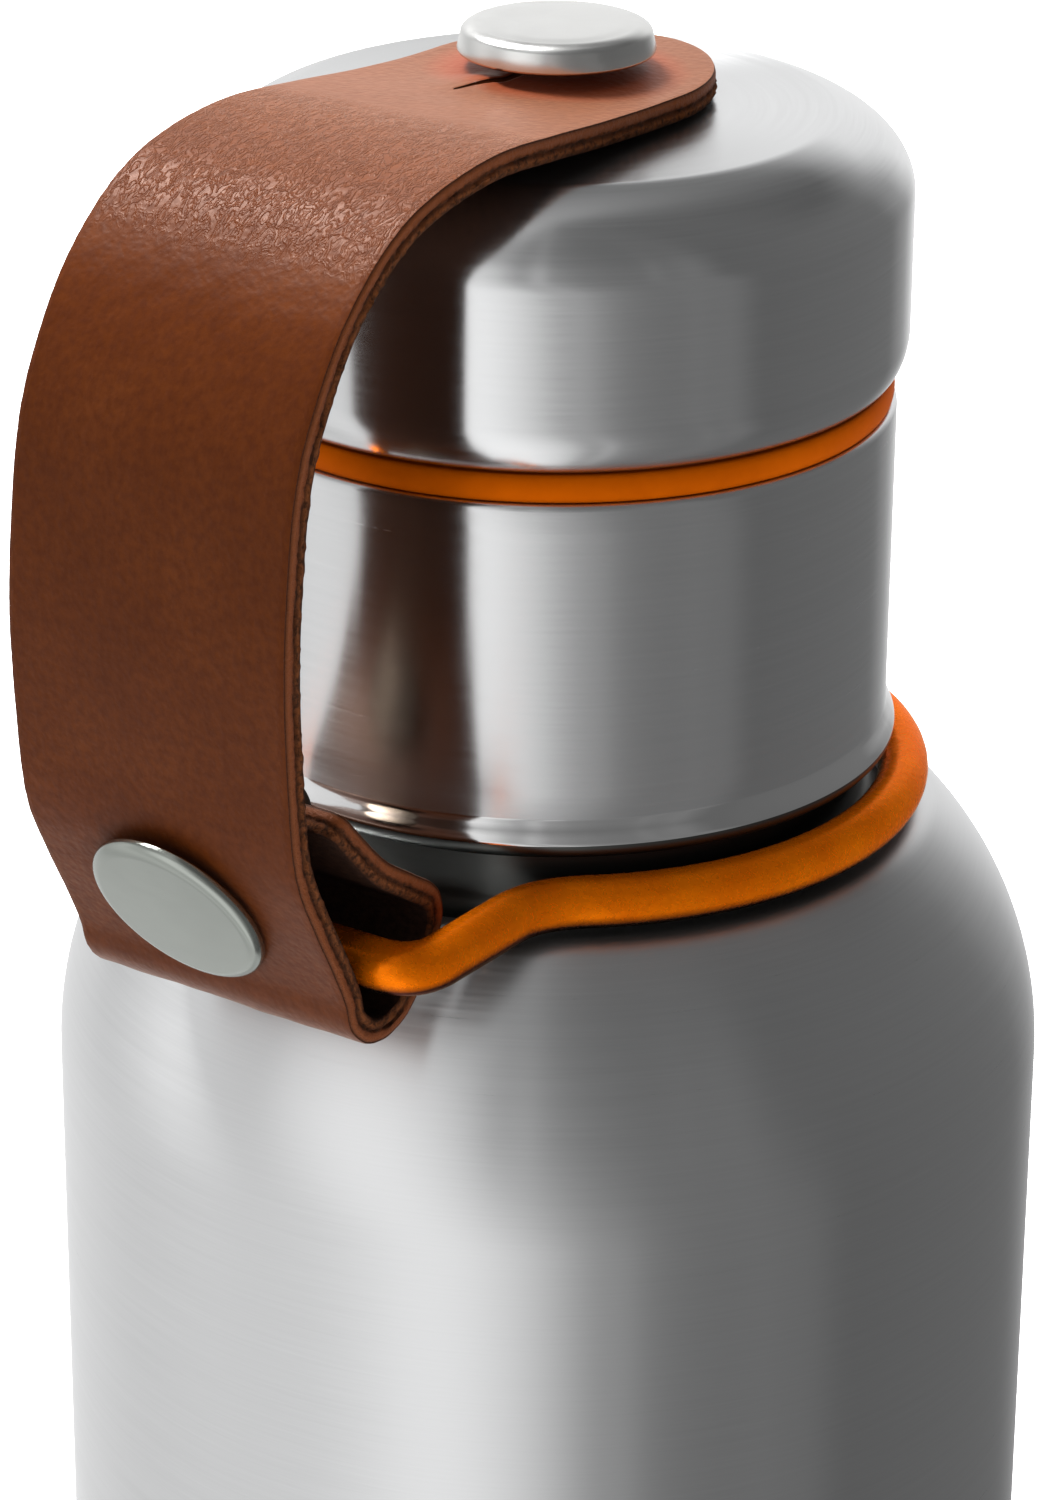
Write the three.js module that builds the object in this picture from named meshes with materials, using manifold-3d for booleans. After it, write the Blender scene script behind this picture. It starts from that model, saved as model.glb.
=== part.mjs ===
// Insulated steel bottle with a screw cap, a leather carrying handle and a coated wire ring that
// keeps the handle on the bottle. Millimetres, +Z up, origin at the centre of the flat base, handle
// towards -Y. Double-walled body, 73 mm across and about half a litre.
import * as THREE from 'three';
import { mergeVertices } from 'three/addons/utils/BufferGeometryUtils.js';
import Module from 'manifold-3d';

const wasm = await Module();
wasm.setup();

// Driving dimensions
const SHELL_R = 36.5; // outside of the body
const WALL = 0.6; // both steel walls
const NECK_TOP = 213; // rim that the gasket rests on
const SHOULDER_START = 162.3; // where the straight body ends
const SHOULDER_R = 26.8; // big shoulder arc
const CROWN_R = 3; // small arc that levels the shoulder out
const FOOT_R = 4; // rounded bottom edge
const ROOT_R = 22.9; // neck of the outer shell, inside the collar
const ROOT_FILLET = 1.6;
const COLLAR_R = 24.5; // polished collar round the neck
const COLLAR_LIP_Z = 187.1; // rolled lower edge, which traps the ring
const COLLAR_LIP_R = 25.15;
const MOUTH_R = 20; // bore of the inner flask's neck
const GAP = 0.35; // between pieces that touch on the real bottle

const CAP_R = 25.25;
const CAP_BOTTOM = 215.1;
const CAP_TOP = 234.05;
const CAP_WALL = 0.8;
const CAP_SHOULDER_IN = 7.4; // elliptical rounding between wall and lid
const CAP_SHOULDER_DOWN = 5.2;
const CAP_CROWN = 0.2; // how far the lid domes

const PITCH = 3; // screw thread
const THREAD_HEIGHT = 1.05;
const THREAD_TURNS = 1.5;
const THREAD_TOP = 209;
const STOPPER_R = 18.2;
const STOPPER_BOTTOM = 190;
const STOPPER_WALL = 1.8;

const STUD_R = 6.95; // mushroom head that the handle buttons onto
const STUD_BOTTOM = 237.7; // underside of the head
const STUD_TOP = 239.7;
const POST_R = 3.2;
const SCREW_R = 1.6;

const STRAP_WIDTH = 23;
const STRAP_END_WIDTH = 21; // at the stud, where the strap ends in a half circle
const STRAP_THICK = 1.8;
const STRAP_HOLE_R = 3.6; // round the stud's post
const SLIT_END = 11.2; // the keyhole slit runs this far towards the handle
const SLIT_WIDTH = 0.7;

const ROD_R = 1.84; // coated steel wire
const RING_R = 25.9; // centre of the wire
const RING_Z = 184.45;
const BAR_S = 36.2; // straight bar that the leather loops round
const BAR_HALF = 14; // half the distance between the bump's two legs
const RIVET_R = 6.7; // disc of the rivet
const RIVET_POST_R = 1.7;

const STEPS = 32; // facets round the big pieces
const SMALL_STEPS = 24;

// The handle lies in the plane x = 0: s is the distance from the axis towards -Y, z is height.
// Middle line of the leather, from the stud over the hand grip, round the bar and back up.
const HANDLE_ROUTE = [
  [-12, 235.25], [1, 235.32], [8.6, 235.75], [15.9, 236.4], [22.9, 236.8], [29.5, 236.0],
  [34.5, 234.1], [38.9, 230.5], [41.9, 226.3], [44.1, 221.5], [45.2, 215.6], [45.8, 208],
  [45.4, 199.6], [44.7, 194.4], [42.95, 190.3], [40.95, 186.4], [39.55, 183.4],
  [39.0, 181.5], [37.6, 180.1], [35.6, 179.8], [33.6, 180.6],
  [31.6, 182.9], [30.2, 185.4], [30.6, 187.4], [33.1, 189.2], [36.2, 191.3], [38.9, 194.0],
  [41.2, 196.6],
];
const RIVET_FACE = new THREE.Vector2(43.35, 188.65); // leather's outer face at the rivet
const RIVET_TILT = THREE.MathUtils.degToRad(29.5); // the rivet's face looks down by this much
const RIVET_REACH = 10.3; // outer leather face to the back disc

const STEEL = { color: 0xc4c6c6, roughness: 0.32, metalness: 1 };
const INNER_STEEL = { color: 0xb4b6b8, roughness: 0.4, metalness: 1 };
const STUD_STEEL = { color: 0xd2d3d0, roughness: 0.25, metalness: 1 };
const ORANGE_RUBBER = { color: 0xb85a00, roughness: 0.45, metalness: 0 };
const ORANGE_COAT = { color: 0xc86400, roughness: 0.4, metalness: 0 };
const LEATHER = { color: 0x6e3a20, roughness: 0.55, metalness: 0 };
const PLASTIC = { color: 0x2c2c2e, roughness: 0.5, metalness: 0 };
const FOAM = { color: 0xd8d6cc, roughness: 0.95, metalness: 0 };
const GETTER_GREY = { color: 0x6b6660, roughness: 0.7, metalness: 0.6 };
const SEAL_GLASS = { color: 0x5c6a62, roughness: 0.2, metalness: 0 };

const bottle = new THREE.Group();

function addPiece(name, geometry, finish) {
  const mesh = new THREE.Mesh(geometry, new THREE.MeshStandardMaterial(finish));
  mesh.name = name;
  bottle.add(mesh);
  return mesh;
}

// --- Shape helpers -----------------------------------------------------------------------------

// Points of an arc from one angle to another, in degrees.
function arc(cx, cy, radius, from, to, steps, height = radius) {
  return Array.from({ length: steps + 1 }, (_, i) => {
    const angle = THREE.MathUtils.degToRad(from + ((to - from) * i) / steps);
    return [cx + radius * Math.cos(angle), cy + height * Math.sin(angle)];
  });
}

// A solid of revolution about Z from [radius, height] points, listed anticlockwise. A profile
// that doesn't run from axis to axis closes on itself.
function revolve(profile, steps = STEPS) {
  const points = profile.map(([r, z]) => new THREE.Vector2(r, z));
  const last = points[points.length - 1];
  if (points[0].x > 0 || last.x > 0) {
    points.push(points[0].clone());
  }
  return new THREE.LatheGeometry(points, steps).rotateX(Math.PI / 2);
}

function toSolid(geometry) {
  const bare = geometry.clone();
  bare.deleteAttribute('normal');
  bare.deleteAttribute('uv');
  const merged = mergeVertices(bare, 1e-4);
  const mesh = new wasm.Mesh({
    numProp: 3,
    vertProperties: new Float32Array(merged.attributes.position.array),
    triVerts: new Uint32Array(merged.index.array),
  });
  return new wasm.Manifold(mesh);
}

function toGeometry(solid) {
  const mesh = solid.getMesh();
  const geometry = new THREE.BufferGeometry();
  geometry.setAttribute('position', new THREE.BufferAttribute(mesh.vertProperties, 3));
  geometry.setIndex(new THREE.BufferAttribute(mesh.triVerts, 1));
  geometry.computeVertexNormals();
  return geometry;
}

// The thread's ridge: a trapezium swept along a helix about Z. Both ends taper into the wall.
function threadRidge(wallR, crestR, midZ, turns) {
  const stepsPerTurn = 24;
  const count = Math.round(turns * stepsPerTurn);
  const taperSteps = 4;
  const leastHeight = 0.06; // share of the full height left at both ends
  const rootHalf = 0.75;
  const crestHalf = 0.3;
  const sunk = Math.sign(wallR - crestR) * 0.3; // the root lies inside the wall
  const positions = [];
  for (let i = 0; i <= count; i += 1) {
    const angle = (i / stepsPerTurn) * 2 * Math.PI;
    const z = midZ + (i / stepsPerTurn) * PITCH;
    const full = Math.min(1, i / taperSteps, (count - i) / taperSteps);
    const crest = THREE.MathUtils.lerp(wallR, crestR, Math.max(full, leastHeight));
    const section = [
      [wallR + sunk, z - rootHalf], [crest, z - crestHalf],
      [crest, z + crestHalf], [wallR + sunk, z + rootHalf],
    ];
    for (const [r, height] of section) {
      positions.push(r * Math.cos(angle), r * Math.sin(angle), height);
    }
  }
  const index = [];
  const outward = crestR > wallR;
  const face = (a, b, c, d) => (outward ? index.push(a, b, c, a, c, d) : index.push(a, c, b, a, d, c));
  for (let i = 0; i < count; i += 1) {
    for (let k = 0; k < 4; k += 1) {
      const next = (k + 1) % 4;
      face(4 * i + k, 4 * i + 4 + k, 4 * i + 4 + next, 4 * i + next);
    }
  }
  face(0, 1, 2, 3);
  const end = 4 * count;
  face(end + 3, end + 2, end + 1, end);
  const geometry = new THREE.BufferGeometry();
  geometry.setAttribute('position', new THREE.Float32BufferAttribute(positions, 3));
  geometry.setIndex(index);
  return geometry;
}

// A plate drawn in the (s, z) plane and extruded across the handle's width.
function extrudeAcross(points, width) {
  const shape = new THREE.Shape(points.map(([s, z]) => new THREE.Vector2(s, z)));
  const geometry = new THREE.ExtrudeGeometry(shape, { depth: width, bevelEnabled: false });
  geometry.translate(0, 0, -width / 2);
  const toHandlePlane = new THREE.Matrix4().set(0, 0, -1, 0, -1, 0, 0, 0, 0, 1, 0, 0, 0, 0, 0, 1);
  geometry.applyMatrix4(toHandlePlane);
  return geometry.index ? geometry : mergeVertices(geometry);
}

// --- Bottle body -------------------------------------------------------------------------------

// Points of a wall that runs up the body, over the shoulder and up the neck, set in by `inset`.
function bodyWall(inset, neckR, topZ, arcSteps) {
  const centreR = SHELL_R - SHOULDER_R;
  const crownCentreR = centreR + (SHOULDER_R - CROWN_R) * Math.SQRT1_2;
  const crownCentreZ = SHOULDER_START + (SHOULDER_R - CROWN_R) * Math.SQRT1_2;
  const levelZ = crownCentreZ + CROWN_R - inset;
  const fillet = ROOT_FILLET + inset;
  return [
    ...arc(centreR, SHOULDER_START, SHOULDER_R - inset, 0, 45, arcSteps),
    ...arc(crownCentreR, crownCentreZ, CROWN_R - inset, 45, 90, 3).slice(1),
    ...arc(neckR + fillet, levelZ + fillet, fillet, 270, 180, 3),
    [neckR, topZ],
  ];
}

function addOuterShell() {
  const footR = SHELL_R - FOOT_R;
  const lift = 0.4; // the shell stands this far above the base cover's underside
  const top = NECK_TOP - 1.2;
  const innerWall = bodyWall(WALL, ROOT_R - WALL, top, 5);
  const profile = [
    [footR - 1, lift],
    ...arc(footR, lift + FOOT_R, FOOT_R, 270, 360, 5),
    ...bodyWall(0, ROOT_R, top, 5),
    ...innerWall.reverse(),
    ...arc(footR, lift + FOOT_R, FOOT_R - WALL, 360, 270, 5),
    [footR - 1, lift + WALL],
  ];
  addPiece('outer_shell', revolve(profile), STEEL);
}

const FLASK_INSET = 4.2; // wall plus vacuum space
const FLASK_BOTTOM = 12;
const FLASK_NECK_R = MOUTH_R + WALL;
const FLASK_SHOULDER_Z = 177.2; // where its shoulder turns into the neck
const MOUTH_RIM_R = ROOT_R - 0.1; // rim turned out over the neck of the shell
const MOUTH_RIM_TOP = NECK_TOP - 0.3;

function addInnerFlask() {
  const bottomFillet = 8;
  const outerR = SHELL_R - FLASK_INSET;
  const filletR = outerR - bottomFillet;
  const flaskWall = (inset, neckR) => {
    const centreR = SHELL_R - SHOULDER_R;
    const topZ = FLASK_SHOULDER_Z - inset;
    const reach = SHOULDER_R - FLASK_INSET - inset;
    const neckFillet = 2 + inset;
    const endAngle = THREE.MathUtils.radToDeg(Math.asin((topZ - SHOULDER_START) / reach));
    return [
      ...arc(centreR, SHOULDER_START, reach, 0, endAngle, 5),
      [neckR + neckFillet * 0.35, topZ + 1.6 + neckFillet * 0.15],
      [neckR, topZ + 1.8 + neckFillet],
    ];
  };
  const inside = flaskWall(WALL, MOUTH_R);
  const profile = [
    [0, FLASK_BOTTOM],
    ...arc(filletR, FLASK_BOTTOM + bottomFillet, bottomFillet, 270, 360, 4),
    ...flaskWall(0, FLASK_NECK_R),
    [FLASK_NECK_R, MOUTH_RIM_TOP - WALL],
    [MOUTH_RIM_R, MOUTH_RIM_TOP - WALL],
    [MOUTH_RIM_R, MOUTH_RIM_TOP],
    [MOUTH_R, MOUTH_RIM_TOP],
    ...inside.reverse(),
    ...arc(filletR, FLASK_BOTTOM + bottomFillet, bottomFillet - WALL, 360, 270, 4),
    [0, FLASK_BOTTOM + WALL],
  ];
  const body = toSolid(revolve(profile));
  const ridge = threadRidge(MOUTH_R, MOUTH_R - THREAD_HEIGHT, THREAD_TOP - 2 * PITCH, THREAD_TURNS);
  addPiece('inner_flask', toGeometry(body.add(toSolid(ridge))), INNER_STEEL);
}

function addNeckCollar() {
  const innerR = ROOT_R + GAP;
  const lipRound = 0.75;
  const profile = [
    [innerR, COLLAR_LIP_Z + 0.9],
    [COLLAR_LIP_R - lipRound - 0.9, COLLAR_LIP_Z],
    ...arc(COLLAR_LIP_R - lipRound, COLLAR_LIP_Z + lipRound, lipRound, 270, 360, 3),
    [COLLAR_LIP_R - 0.35, COLLAR_LIP_Z + 1.7],
    [COLLAR_R - 0.08, COLLAR_LIP_Z + 2.7],
    [COLLAR_R, NECK_TOP - 0.5],
    [COLLAR_R - 0.5, NECK_TOP],
    [MOUTH_RIM_R + GAP, NECK_TOP],
    [innerR, NECK_TOP - 1],
  ];
  addPiece('neck_collar', revolve(profile), STEEL);
}

const PLATE_Z = 5; // underside of the base plate's floor
const DIMPLE_R = 9;
const DIMPLE_DEPTH = 2.2;
const VENT_R = 1; // hole that the flask is pumped out through
const GETTER_X = 13; // the getter hangs beside the dimple
const GETTER_Y = 6;

function addBase() {
  const plateR = SHELL_R - WALL - GAP;
  const plate = [
    [VENT_R, PLATE_Z + DIMPLE_DEPTH],
    [DIMPLE_R - 1, PLATE_Z + DIMPLE_DEPTH],
    [DIMPLE_R, PLATE_Z],
    [plateR - 1.5, PLATE_Z],
    [plateR, PLATE_Z + 1.5],
    [plateR, PLATE_Z + 6],
    [plateR - WALL, PLATE_Z + 6],
    [plateR - WALL, PLATE_Z + 1.8],
    [plateR - 1.8, PLATE_Z + WALL],
    [DIMPLE_R + 0.4, PLATE_Z + WALL],
    [DIMPLE_R - 0.6, PLATE_Z + DIMPLE_DEPTH + WALL],
    [VENT_R, PLATE_Z + DIMPLE_DEPTH + WALL],
  ];
  addPiece('base_plate', revolve(plate), INNER_STEEL);

  const coverR = SHELL_R - FOOT_R - 1 - GAP;
  const rimR = coverR - 1;
  const coverThick = 0.9;
  const cover = [
    [0, 0],
    [coverR - 0.5, 0],
    [coverR, 0.5],
    [coverR, coverThick],
    [rimR, coverThick + 1],
    [rimR, PLATE_Z - GAP],
    [rimR - 0.9, PLATE_Z - GAP],
    [rimR - 0.9, coverThick],
    [0, coverThick],
  ];
  addPiece('base_cover', revolve(cover), STEEL);

  const beadR = 3.4;
  const beadTop = PLATE_Z + DIMPLE_DEPTH - GAP;
  const bead = [[0, beadTop - 1.5], [beadR * 0.7, beadTop - 1.1], [beadR, beadTop], [0, beadTop]];
  addPiece('vacuum_seal', revolve(bead, SMALL_STEPS), SEAL_GLASS);

  const getterTop = FLASK_BOTTOM - GAP;
  const getterLow = getterTop - 1.6;
  const getter = [[0, getterLow], [5, getterLow], [5.4, getterTop], [0, getterTop]];
  addPiece('getter', revolve(getter, SMALL_STEPS).translate(GETTER_X, GETTER_Y, 0), GETTER_GREY);
}

// --- Cap ---------------------------------------------------------------------------------------

const CAP_INSIDE_R = CAP_R - CAP_WALL;
const CAP_RIM_R = CAP_R - 1.75; // the shell's lower edge is curled in to here

function addGasket() {
  const outerR = COLLAR_R - 0.2;
  const innerR = STOPPER_R + 0.9;
  const low = NECK_TOP + 0.3;
  const high = CAP_BOTTOM + 0.75;
  const shoulder = CAP_BOTTOM - GAP;
  const profile = [
    [innerR, low],
    [outerR - 0.4, low],
    [outerR, low + 0.5],
    [outerR, shoulder - 0.2],
    [outerR - 0.2, shoulder],
    [CAP_RIM_R - GAP, shoulder],
    [CAP_RIM_R - GAP, high],
    [innerR, high],
  ];
  addPiece('seal_gasket', revolve(profile), ORANGE_RUBBER);
}

const CORE_FLANGE_Z = CAP_BOTTOM + 1.1; // underside of the core's flange
const CORE_TOP = 230.4;

function addCapShell() {
  const lidR = CAP_R - CAP_SHOULDER_IN;
  const lidRimZ = CAP_TOP - CAP_CROWN;
  const shoulderZ = lidRimZ - CAP_SHOULDER_DOWN;
  const shoulder = (inset, from, to) =>
    arc(lidR, shoulderZ, CAP_SHOULDER_IN - inset, from, to, 6, CAP_SHOULDER_DOWN - inset);
  const holeR = POST_R * 0.75 + GAP;
  const profile = [
    [CAP_INSIDE_R, CAP_BOTTOM + 1],
    [CAP_RIM_R, CAP_BOTTOM],
    [CAP_R - 0.65, CAP_BOTTOM + 0.75],
    [CAP_R - 0.12, CAP_BOTTOM + 2.1],
    [CAP_R, CAP_BOTTOM + 3.4],
    ...shoulder(0, 0, 90),
    [lidR * 0.5, lidRimZ + CAP_CROWN * 0.75],
    [holeR, CAP_TOP],
    [holeR, CAP_TOP - CAP_WALL],
    [lidR * 0.5, lidRimZ + CAP_CROWN * 0.75 - CAP_WALL],
    ...shoulder(CAP_WALL, 90, 0),
  ];
  addPiece('cap_shell', revolve(profile), STEEL);
}

// Threaded stopper, glued into the shell: a flange above the gasket, a web that the stud's screw
// clamps, and a hollow skirt full of foam.
function addCapCore() {
  const flangeR = CAP_INSIDE_R - GAP;
  const boreR = SCREW_R + GAP;
  const insideR = STOPPER_R - STOPPER_WALL;
  const top = CORE_TOP;
  const webUnder = top - 2;
  const core = [
    [insideR, STOPPER_BOTTOM],
    [STOPPER_R, STOPPER_BOTTOM],
    [STOPPER_R, CORE_FLANGE_Z],
    [flangeR, CORE_FLANGE_Z],
    [flangeR, top - 3],
    [flangeR - 2.6, top],
    [boreR, top],
    [boreR, webUnder],
    [insideR, webUnder],
  ];
  const body = toSolid(revolve(core));
  const ridge = threadRidge(STOPPER_R, STOPPER_R + THREAD_HEIGHT, THREAD_TOP - 2.5 * PITCH, THREAD_TURNS);
  addPiece('cap_core', toGeometry(body.add(toSolid(ridge))), PLASTIC);

  const foamR = insideR - GAP;
  const foam = [
    [0, STOPPER_BOTTOM + 2.2],
    [foamR, STOPPER_BOTTOM + 2.2],
    [foamR, webUnder - GAP],
    [5, webUnder - GAP],
    [5, webUnder - 4],
    [0, webUnder - 4],
  ];
  addPiece('cap_foam', revolve(foam, SMALL_STEPS), FOAM);

  const spigotR = insideR - GAP;
  const base = [
    [0, STOPPER_BOTTOM - 2],
    [STOPPER_R - 0.8, STOPPER_BOTTOM - 2],
    [STOPPER_R, STOPPER_BOTTOM - 1.2],
    [STOPPER_R, STOPPER_BOTTOM - GAP],
    [spigotR, STOPPER_BOTTOM - GAP],
    [spigotR, STOPPER_BOTTOM + 1.8],
    [0, STOPPER_BOTTOM + 1.8],
  ];
  addPiece('stopper_base', revolve(base), PLASTIC);
}

// The post stands on the lid, with a spigot through it, and is held by a screw from below.
function addStud() {
  const spigotR = POST_R * 0.75;
  const spigotEnd = CORE_TOP + GAP;
  const tapR = SCREW_R + GAP;
  const tapTop = STUD_BOTTOM - 0.6;
  const edge = 0.55;
  const stud = [
    [tapR, spigotEnd],
    [spigotR, spigotEnd],
    [spigotR, CAP_TOP + GAP],
    [POST_R, CAP_TOP + GAP],
    [POST_R, STUD_BOTTOM],
    [STUD_R - 0.25, STUD_BOTTOM],
    [STUD_R, STUD_BOTTOM + 0.3],
    ...arc(STUD_R - edge, STUD_TOP - edge, edge, 0, 90, 3),
    [0, STUD_TOP + 0.15],
    [0, tapTop],
    [tapR, tapTop],
  ];
  addPiece('strap_stud', revolve(stud, SMALL_STEPS), STUD_STEEL);

  const washerTop = CORE_TOP - 2 - GAP;
  const washerThick = 0.6;
  const washer = [
    [SCREW_R + GAP, washerTop - washerThick],
    [4.2, washerTop - washerThick],
    [4.2, washerTop],
    [SCREW_R + GAP, washerTop],
  ];
  addPiece('stud_washer', revolve(washer, SMALL_STEPS), INNER_STEEL);

  const headTop = washerTop - washerThick - GAP;
  const screw = [
    [0, headTop - 1.6],
    [1.9, headTop - 1.6],
    [2.9, headTop - 0.6],
    [2.9, headTop],
    [SCREW_R, headTop],
    [SCREW_R, tapTop - 0.6],
    [0, tapTop - 0.6],
  ];
  addPiece('stud_screw', revolve(screw, SMALL_STEPS), INNER_STEEL);
}

// --- Handle ------------------------------------------------------------------------------------

// A cylinder along the rivet's axis, between two depths below the leather's outer face.
function alongRivet(radius, near, far, steps = SMALL_STEPS) {
  const geometry = new THREE.CylinderGeometry(radius, radius, far - near, steps);
  geometry.translate(0, -(near + far) / 2, 0);
  return geometry.applyMatrix4(rivetFrame());
}

// Maps +Y to the direction in which the rivet's face looks, with the face's centre at its place.
function rivetFrame() {
  const turn = new THREE.Matrix4().makeRotationX(Math.PI + RIVET_TILT);
  const place = new THREE.Matrix4().makeTranslation(0, -RIVET_FACE.x, RIVET_FACE.y);
  return place.multiply(turn);
}

function addStrap() {
  const route = new THREE.SplineCurve(HANDLE_ROUTE.map(([s, z]) => new THREE.Vector2(s, z)));
  const stations = 72;
  const outer = [];
  const inner = [];
  for (let i = 0; i <= stations; i += 1) {
    const along = i / stations;
    const point = route.getPointAt(along);
    const direction = route.getTangentAt(along);
    const side = new THREE.Vector2(-direction.y, direction.x).multiplyScalar(STRAP_THICK / 2);
    outer.push([point.x + side.x, point.y + side.y]);
    inner.push([point.x - side.x, point.y - side.y]);
  }
  const band = toSolid(extrudeAcross([...outer, ...inner.reverse()], STRAP_WIDTH));

  const hole = new THREE.CylinderGeometry(STRAP_HOLE_R, STRAP_HOLE_R, CUT_HEIGHT, SMALL_STEPS);
  hole.rotateX(Math.PI / 2).translate(0, 0, CAP_TOP);
  const slit = new THREE.BoxGeometry(SLIT_WIDTH, SLIT_END, CUT_HEIGHT).translate(0, -SLIT_END / 2, CAP_TOP);
  const rivetHole = alongRivet(RIVET_POST_R + GAP, -CUT_MARGIN, RIVET_REACH + CUT_MARGIN);
  const leather = band
    .intersect(toSolid(strapPlan()))
    .subtract(toSolid(hole))
    .subtract(toSolid(slit))
    .subtract(toSolid(rivetHole));
  addPiece('strap', toGeometry(leather), LEATHER);
}

const CUT_HEIGHT = 16; // tools that cut right through the leather
const CUT_MARGIN = 2;

// The strap seen from above, as a block: a half circle about the post, widening to full width
// half way to the far end of the block.
function strapPlan() {
  const endHalf = STRAP_END_WIDTH / 2;
  const farHalf = STRAP_WIDTH - endHalf;
  const reach = 60;
  const plan = new THREE.Shape();
  plan.absarc(0, 0, endHalf, 0, Math.PI, false);
  plan.lineTo(-farHalf, -reach);
  plan.lineTo(farHalf, -reach);
  const low = 170;
  const height = 90;
  const block = new THREE.ExtrudeGeometry(plan, { depth: height, bevelEnabled: false, curveSegments: 16 });
  return block.translate(0, 0, low);
}

// Two halves: a disc with a post, and a back disc with a tube that the post goes into.
function addRivet() {
  const turned = (points) => revolve(points, SMALL_STEPS).rotateX(-Math.PI / 2).applyMatrix4(rivetFrame());
  const pinR = 1.02;
  const pinEnd = 1.5 - RIVET_REACH;
  const face = [
    [0, pinEnd],
    [pinR, pinEnd],
    [pinR, GAP],
    [RIVET_R - 0.25, GAP],
    [RIVET_R, GAP + 0.3],
    [RIVET_R - 0.4, GAP + 0.75],
    [RIVET_R - 1.05, GAP + 0.9],
    [0, GAP + 1],
  ];
  addPiece('rivet_cap', turned(face), STUD_STEEL);

  const boreR = pinR + 0.3;
  const tubeTop = -0.6;
  const back = [
    [0, -RIVET_REACH - 1],
    [3.3, -RIVET_REACH - 0.8],
    [3.6, -RIVET_REACH],
    [RIVET_POST_R, -RIVET_REACH],
    [RIVET_POST_R, tubeTop],
    [boreR, tubeTop],
    [boreR, pinEnd - GAP],
    [0, pinEnd - GAP],
  ];
  addPiece('rivet_back', turned(back), STUD_STEEL);
}

// --- Wire ring ---------------------------------------------------------------------------------

// A round ring with a bump towards the handle: two legs and the bar that the leather loops round.
function addTetherRing() {
  const legAngle = Math.asin(BAR_HALF / RING_R);
  const corner = 3.2; // how far from its corners the bar starts to bend
  const blend = 3.4; // and the ring from where it meets a leg
  const tuck = 0.4; // keeps the bend between ring and leg just inside the meeting point
  const path = new THREE.CurvePath();
  const at = (x, s) => new THREE.Vector3(x, -s, RING_Z);
  const leaveAngle = legAngle + blend / RING_R;
  const leave = at(RING_R * Math.sin(leaveAngle), RING_R * Math.cos(leaveAngle));
  const legStart = at(BAR_HALF, RING_R * Math.cos(legAngle) + blend);
  const bend = at(BAR_HALF, RING_R * Math.cos(legAngle) + tuck);
  const legEnd = at(BAR_HALF, BAR_S - corner);
  const barStart = at(BAR_HALF - corner, BAR_S);
  const mirror = (v) => new THREE.Vector3(-v.x, v.y, v.z);
  path.add(new THREE.QuadraticBezierCurve3(leave, bend, legStart));
  path.add(new THREE.LineCurve3(legStart, legEnd));
  path.add(new THREE.QuadraticBezierCurve3(legEnd, at(BAR_HALF, BAR_S), barStart));
  path.add(new THREE.LineCurve3(barStart, mirror(barStart)));
  path.add(new THREE.QuadraticBezierCurve3(mirror(barStart), at(-BAR_HALF, BAR_S), mirror(legEnd)));
  path.add(new THREE.LineCurve3(mirror(legEnd), mirror(legStart)));
  path.add(new THREE.QuadraticBezierCurve3(mirror(legStart), mirror(bend), mirror(leave)));

  const points = path.getSpacedPoints(40).slice(0, -1);
  const arcSteps = 32;
  for (let i = 0; i < arcSteps; i += 1) {
    const angle = -leaveAngle - (i / arcSteps) * 2 * (Math.PI - leaveAngle);
    points.push(at(RING_R * Math.sin(angle), RING_R * Math.cos(angle)));
  }
  addPiece('tether_ring', closedTube(points, ROD_R, 8), ORANGE_COAT);
}

// A tube round a flat closed loop of points at one height.
function closedTube(points, radius, sides) {
  const count = points.length;
  const positions = [];
  for (let i = 0; i < count; i += 1) {
    const ahead = points[(i + 1) % count];
    const behind = points[(i + count - 1) % count];
    const direction = new THREE.Vector3().subVectors(ahead, behind).normalize();
    const side = new THREE.Vector3(direction.y, -direction.x, 0);
    for (let k = 0; k < sides; k += 1) {
      const angle = (k / sides) * 2 * Math.PI;
      const p = points[i].clone().addScaledVector(side, radius * Math.cos(angle));
      positions.push(p.x, p.y, p.z + radius * Math.sin(angle));
    }
  }
  const index = [];
  for (let i = 0; i < count; i += 1) {
    const next = (i + 1) % count;
    for (let k = 0; k < sides; k += 1) {
      const beside = (k + 1) % sides;
      const a = i * sides + k;
      const b = next * sides + k;
      const c = next * sides + beside;
      const d = i * sides + beside;
      index.push(a, b, c, a, c, d);
    }
  }
  const geometry = new THREE.BufferGeometry();
  geometry.setAttribute('position', new THREE.Float32BufferAttribute(positions, 3));
  geometry.setIndex(index);
  geometry.computeVertexNormals();
  return geometry;
}

addOuterShell();
addInnerFlask();
addNeckCollar();
addBase();
addGasket();
addCapShell();
addCapCore();
addStud();
addStrap();
addTetherRing();
addRivet();

export default bottle;
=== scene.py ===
"""Insulated steel bottle with a leather handle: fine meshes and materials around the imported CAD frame.

Lengths of the bottle are written in millimetres and turned into metres when a mesh is made.
Places on the flat leather within its materials, and those of the lights, are in metres.
"""

import math

import bmesh
import bpy
import numpy as np
from mathutils import Matrix, Vector, noise
from mathutils.geometry import delaunay_2d_cdt


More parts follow.
